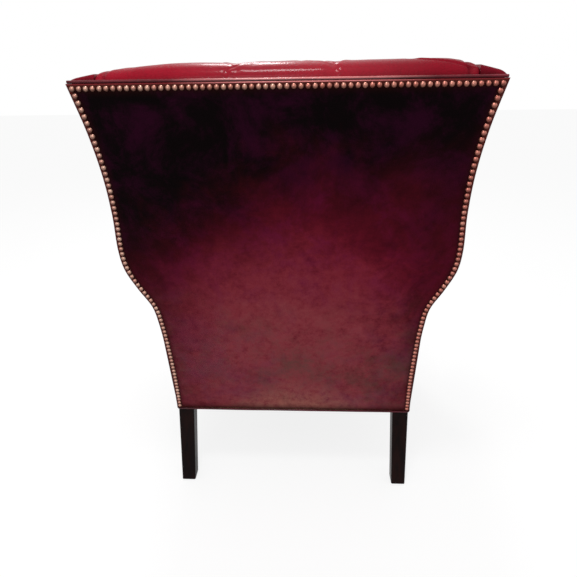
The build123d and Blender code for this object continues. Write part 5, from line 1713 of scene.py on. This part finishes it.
class ARMCHAIR_OT_inner_cloths(Operator):
    """Deck, hessian, webbing and the cloth under the seat"""

    bl_idname = "armchair.inner_cloths"
    bl_label = "Inner cloths"

    def execute(self, context):
        share, run = np.meshgrid(np.linspace(-1, 1, 70), np.linspace(0, 1, 70))
        wall = ARM_WALL + 0.0015
        self.deck(share, run, wall)
        self.stuffing(share, run, wall)
        self.hessian(share, run, wall)
        self.webbing()
        self.under_seat()
        return {"FINISHED"}

    def deck(self, share, run, wall):
        """Twill over the deck, with a seam behind its front edge."""
        twill = woven("deck_twill", (0.05, 0.012, 0.014), (0.085, 0.022, 0.024), 900)
        front = FRONT_Y + FACING - BORDER
        y = front + (DECK_BACK - front) * run
        x = side_x(y, wall) * share
        z = DECK_TOP + 0.0023 - (y - FRONT_Y) * math.tan(SLOPE)
        plain = np.stack([x, y, z], axis=-1)
        inner = (1 - np.abs(share) ** 8) * (1 - np.abs(2 * run - 1) ** 8)
        plain[..., 2] -= inner * (0.0011 + 0.0006 * ripples(plain, 0.15, 91))
        seam = np.exp(-(((y - FRONT_Y - 0.11) / 0.003) ** 2))
        plain[..., 2] -= seam * 0.0008 * inner
        mesh = Form().net(plain, seam * 0.5).mesh("deck_cloth_cover")
        facts = {"replaced": ["deck_cover"], "thickness": TWILL, "sheet": cut_of(plain, ["deck_stuffing"])}
        add_piece("deck_cloth_cover", mesh, twill, "deck_cloth", **facts)

    def stuffing(self, share, run, wall):
        """Wedge of stuffing under the deck's cloth."""
        wadding = felted("deck_wadding", (0.3, 0.24, 0.16), (0.5, 0.43, 0.32))
        edge = (1 - np.abs(share) ** 10) * (1 - np.abs(2 * run - 1) ** 10)
        y = FRAME_Y + 0.002 + (DECK_BACK - FRAME_Y - 0.004) * run
        x = side_x(y, wall + 0.002) * share
        top = DECK_TOP - 0.003 - (y - FRONT_Y) * math.tan(SLOPE)
        low = PAD_FLOOR + 0.0006 + 0 * top
        upper = np.stack([x, y, low + (top - low) * (0.55 + 0.45 * edge)], axis=-1)
        lower = np.stack([x, y, low], axis=-1)
        form = Form().net(upper).net(lower)
        for pick in (np.s_[0, :], np.s_[-1, :], np.s_[:, 0], np.s_[:, -1]):
            form.net(np.stack([upper[pick], lower[pick]]))
        mesh = form.mesh("deck_stuffing", merge=SEAM)
        add_piece("deck_stuffing", mesh, wadding, "stuffing", replaced=["deck_pad"], fill=0.7)

    def hessian(self, share, run, wall):
        """Hessian stretched over the springs."""
        jute = woven("hessian", (0.26, 0.17, 0.08), (0.4, 0.28, 0.15), 420, 0.0006)
        rear = float(back_y(PAD_FLOOR - 0.002, LEATHER + GAP))
        y = FRAME_Y + (rear - FRAME_Y) * run
        x = side_x(y, wall) * share
        z = np.full_like(x, PAD_FLOOR - 0.0004)
        sag = (1 - np.abs(share) ** 6) * (1 - np.abs(2 * run - 1) ** 6)
        plain = np.stack([x, y, z - 0.0008 * sag * (1 + np.cos(x / 0.012)) / 2], axis=-1)
        mesh = Form().net(plain).mesh("seat_hessian")
        facts = {"replaced": ["seat_burlap"], "thickness": JUTE, "sheet": cut_of(plain, ["seat_springs"])}
        add_piece("seat_hessian", mesh, jute, "jute", **facts)

    def webbing(self):
        """Straps across the back and up it, the upright ones in front."""
        straps = Form()
        wide = np.linspace(-STRAP_HALF, STRAP_HALF, 10)
        inner = HALF_TOP * 0.82 - LEATHER - GAP - 0.038
        for row in (0.50, 0.62, 0.74, 0.86):
            x, up = np.meshgrid(np.linspace(-inner - 0.012, inner + 0.012, 90), SLOPE_LENGTH * row + wide)
            straps.net(back_point(x, up, FRAME_FRONT + 0.0012 + 0.0006 * np.cos(x * math.pi / inner)))
        low = (0.430 - LEG_CLEARANCE) / math.cos(RAKE) - 0.045
        high = SLOPE_LENGTH - 0.035
        for column in (-0.6, 0.0, 0.6):
            up, x = np.meshgrid(np.linspace(low, high, 110), inner * column + wide)
            straps.net(back_point(x, up, FRAME_FRONT + 0.0032 + 0.0006 * np.cos(up * 40)))
        web = woven("webbing_jute", (0.3, 0.2, 0.1), (0.45, 0.33, 0.19), 700, 0.0004)
        mesh = straps.mesh("back_webbing_straps")
        add_piece("back_webbing_straps", mesh, web, "jute", replaced=["back_webbing"], thickness=JUTE)

    def under_seat(self):
        """Black cambric under the seat, sagging a little."""
        black = woven("cambric", (0.008, 0.008, 0.009), (0.02, 0.02, 0.022), 1400)
        low_corner, high_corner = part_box("dust_cover")
        work = bmesh.new()
        work.from_mesh(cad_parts["dust_cover"].data)
        bmesh.ops.remove_doubles(work, verts=work.verts, dist=0.00001)
        top_faces = [face for face in work.faces if face.normal.z > -0.5]
        bmesh.ops.delete(work, geom=top_faces, context="FACES")
        cuts = 14
        for step in range(cuts):
            at = low_corner.lerp(high_corner, (step + 0.5) / cuts)
            for normal, place in (((1, 0, 0), (at.x, 0, 0)), ((0, 1, 0), (0, at.y, 0))):
                whole = work.verts[:] + work.edges[:] + work.faces[:]
                bmesh.ops.bisect_plane(work, geom=whole, plane_co=place, plane_no=normal)
        for point in work.verts:
            across = abs(point.co.x) / high_corner.x
            along = (point.co.y - low_corner.y) / (high_corner.y - low_corner.y)
            sag = max(0.0, 1 - across**2) * max(0.0, 4 * along * (1 - along))
            point.co.z -= 0.006 * sag**0.8
        mesh = bpy.data.meshes.new("under_seat_cloth")
        work.to_mesh(mesh)
        work.free()
        mesh.polygons.foreach_set("use_smooth", np.ones(len(mesh.polygons), bool))
        size = high_corner - low_corner
        area = sum(face.area for face in mesh.polygons)
        sheet = flat_cut(size.x, size.y, area, ["seat_rail_front", "seat_rail_rear"])
        facts = {"replaced": ["dust_cover"], "thickness": CAMBRIC, "sheet": sheet}
        add_piece("under_seat_cloth", mesh, black, "dust_cloth", **facts)


def dress(nodes, material):
    """Gives CAD nodes their finish."""
    for name in nodes:
        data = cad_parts[name].data
        data.materials.clear()
        data.materials.append(material)


class ARMCHAIR_OT_woodwork(Operator):
    """Mahogany legs and the hidden hardwood frame"""

    bl_idname = "armchair.woodwork"
    bl_label = "Woodwork"

    def execute(self, context):
        legs = wood("polished_mahogany", (0.0022, 0.0006, 0.0006), (0.011, 0.0022, 0.0016), 2, 0.34, 0.05)
        dress(both("rear_post", "front_leg"), legs)
        across = ["seat_rail_front", "seat_rail_rear", "crest_rail", "lower_back_rail", "corner_blocks"]
        along = both("seat_rail_side", "arm_rail", "arm_tack_rail", "wing_rail")
        upright = both("arm_stump", "wing_stile", "wing_post") + ["frame_dowels"]
        for axis, (way, nodes) in enumerate((("across", across), ("along", along), ("upright", upright))):
            dress(nodes, wood(f"sawn_beech_{way}", (0.42, 0.25, 0.13), (0.62, 0.42, 0.24), axis, 0.0, 0.3))
        return {"FINISHED"}


class ARMCHAIR_OT_metalwork(Operator):
    """Antique brass nails, steel springs with their clips, and the glides"""

    bl_idname = "armchair.metalwork"
    bl_label = "Metalwork"

    def execute(self, context):
        outward = (0, math.cos(RAKE), -math.sin(RAKE))
        dress(["back_nails"], nail_metal("back_nail_brass", outward))
        dress(["arm_front_nails"], nail_metal("arm_nail_brass", (0, -1, 0)))
        steel = metal("spring_wire", (0.32, 0.31, 0.3), (0.12, 0.1, 0.09), 0.38)
        dress(["seat_springs", "spring_clips"], steel)
        dress(["foot_glides"], metal("glide_nickel", (0.5, 0.48, 0.45), (0.2, 0.18, 0.16), 0.3))
        return {"FINISHED"}


# Stage
class ARMCHAIR_OT_stage(Operator):
    """Pale floor, soft studio light and the photograph's camera"""

    bl_idname = "armchair.stage"
    bl_label = "Stage"

    def execute(self, context):
        scene = context.scene
        light = settings().light
        scene.view_settings.view_transform = "Standard"
        mesh = bpy.data.meshes.new("studio_floor")
        reach = 14
        corners = [(-reach, -reach, 0), (reach, -reach, 0), (reach, reach, 0), (-reach, reach, 0)]
        mesh.from_pydata(corners, [], [(0, 1, 2, 3)])
        floor = bpy.data.objects.new("studio_floor", mesh)
        scene.collection.objects.link(floor)
        mesh.materials.append(self.floor_finish())
        self.room(scene, light.room)
        self.lamp("overhead_softbox", (0.15, 0.95, 2.7), (0, 0.3, 1.0), 0.42, light.overhead)
        self.lamp("front_softbox", (0.45, -2.0, 2.9), (0, 0.0, 0.8), 0.6, light.front)
        self.lamp("camera_fill", (0.9, 3.4, 1.9), (0, 0.2, 0.6), 1.8, light.fill)
        self.camera(scene)
        return {"FINISHED"}

    def floor_finish(self):
        """Pale floor that fades to white and keeps the chair's shadow."""
        finish = Finish("pale_floor")
        grey = finish.noise(3, 2, 0.5)
        tone = finish.blend(grey * 0.2, (0.84, 0.84, 0.84, 1), (0.8, 0.8, 0.8, 1))
        plain = finish.node("ShaderNodeBsdfDiffuse", inputs={"Color": tone})
        white = finish.node("ShaderNodeEmission", inputs={"Color": (1, 1, 1, 1), "Strength": 1.12})
        mix = finish.node("ShaderNodeMixShader", inputs={0: finish.backdrop() * 0.72, 1: plain, 2: white})
        finish.node("ShaderNodeOutputMaterial", inputs={"Surface": mix}, output=None)
        return finish.material

    def room(self, scene, strength):
        """Even light from all round, white where the camera sees it."""
        world = bpy.data.worlds.new("studio_room")
        world.use_nodes = True
        scene.world = world
        room = Nodes(world.node_tree)
        white = (1, 1, 1, 1)
        dim = room.node("ShaderNodeBackground", inputs={"Color": white, "Strength": strength})
        bright = room.node("ShaderNodeBackground", inputs={"Color": white, "Strength": 1.0})
        mix = room.node("ShaderNodeMixShader", inputs={0: room.backdrop(), 1: dim, 2: bright})
        room.node("ShaderNodeOutputWorld", inputs={"Surface": mix}, output=None)

    def lamp(self, name, place, target, size, power):
        """Square soft light, turned to its target."""
        data = bpy.data.lights.new(name, "AREA")
        data.shape = "SQUARE"
        data.size = size
        data.energy = power
        lamp = bpy.data.objects.new(name, data)
        bpy.context.scene.collection.objects.link(lamp)
        lamp.location = place
        lamp.rotation_euler = (Vector(target) - Vector(place)).to_track_quat("-Z", "Y").to_euler()

    def camera(self, scene):
        """Camera behind the chair, level with its top and looking down."""
        yaw, pitch, roll = math.radians(2.83), math.radians(24.14), math.radians(-0.88)
        place, film, focal_pixels, picture_pixels = (-0.050, 1.335, 1.110), 36, 483.7, 577
        ahead = Vector((math.sin(yaw) * math.cos(pitch), -math.cos(yaw) * math.cos(pitch), -math.sin(pitch)))
        right = ahead.cross(Vector((0, 0, 1))).normalized()
        above = right.cross(ahead)
        side = math.cos(roll) * right + math.sin(roll) * above
        rise = -math.sin(roll) * right + math.cos(roll) * above
        data = bpy.data.cameras.new("photo_camera")
        data.sensor_width = film
        data.sensor_fit = "HORIZONTAL"
        data.lens = focal_pixels * film / picture_pixels
        data.clip_start, data.clip_end = 0.05, 60
        camera = bpy.data.objects.new("photo_camera", data)
        scene.collection.objects.link(camera)
        turn = Matrix((side, rise, -ahead)).transposed().to_4x4()
        camera.matrix_world = Matrix.Translation(place) @ turn
        scene.camera = camera


OPERATORS = (
    ARMCHAIR_OT_stage,
    ARMCHAIR_OT_outside_back,
    ARMCHAIR_OT_welts,
    ARMCHAIR_OT_crown,
    ARMCHAIR_OT_inside_back,
    ARMCHAIR_OT_wings,
    ARMCHAIR_OT_arms,
    ARMCHAIR_OT_seat_front,
    ARMCHAIR_OT_seat_cushion,
    ARMCHAIR_OT_inner_cloths,
    ARMCHAIR_OT_woodwork,
    ARMCHAIR_OT_metalwork,
)


class ARMCHAIR_PT_sidebar(Panel):
    """Settings and steps of the armchair"""

    bl_idname = "ARMCHAIR_PT_sidebar"
    bl_label = "Wing armchair"
    bl_space_type = "VIEW_3D"
    bl_region_type = "UI"
    bl_category = "Armchair"

    def draw(self, context):
        chair = context.scene.armchair
        for group in (chair.leather, chair.upholstery, chair.cushion, chair.light):
            box = self.layout.box()
            for name in group.__annotations__:
                box.prop(group, name)
        for step in OPERATORS:
            self.layout.operator(step.bl_idname)


CLASSES = (
    LeatherColours,
    Upholstery,
    CushionFilling,
    StudioLight,
    ArmchairSettings,
    *OPERATORS,
    ARMCHAIR_PT_sidebar,
)


def register():
    for one in CLASSES:
        bpy.utils.register_class(one)
    bpy.types.Scene.armchair = PointerProperty(type=ArmchairSettings)


def unregister():
    del bpy.types.Scene.armchair
    for one in reversed(CLASSES):
        bpy.utils.unregister_class(one)


def main():
    register()
    for step in OPERATORS:
        group, name = step.bl_idname.split(".")
        getattr(getattr(bpy.ops, group), name)()


if __name__ == "__main__":
    main()
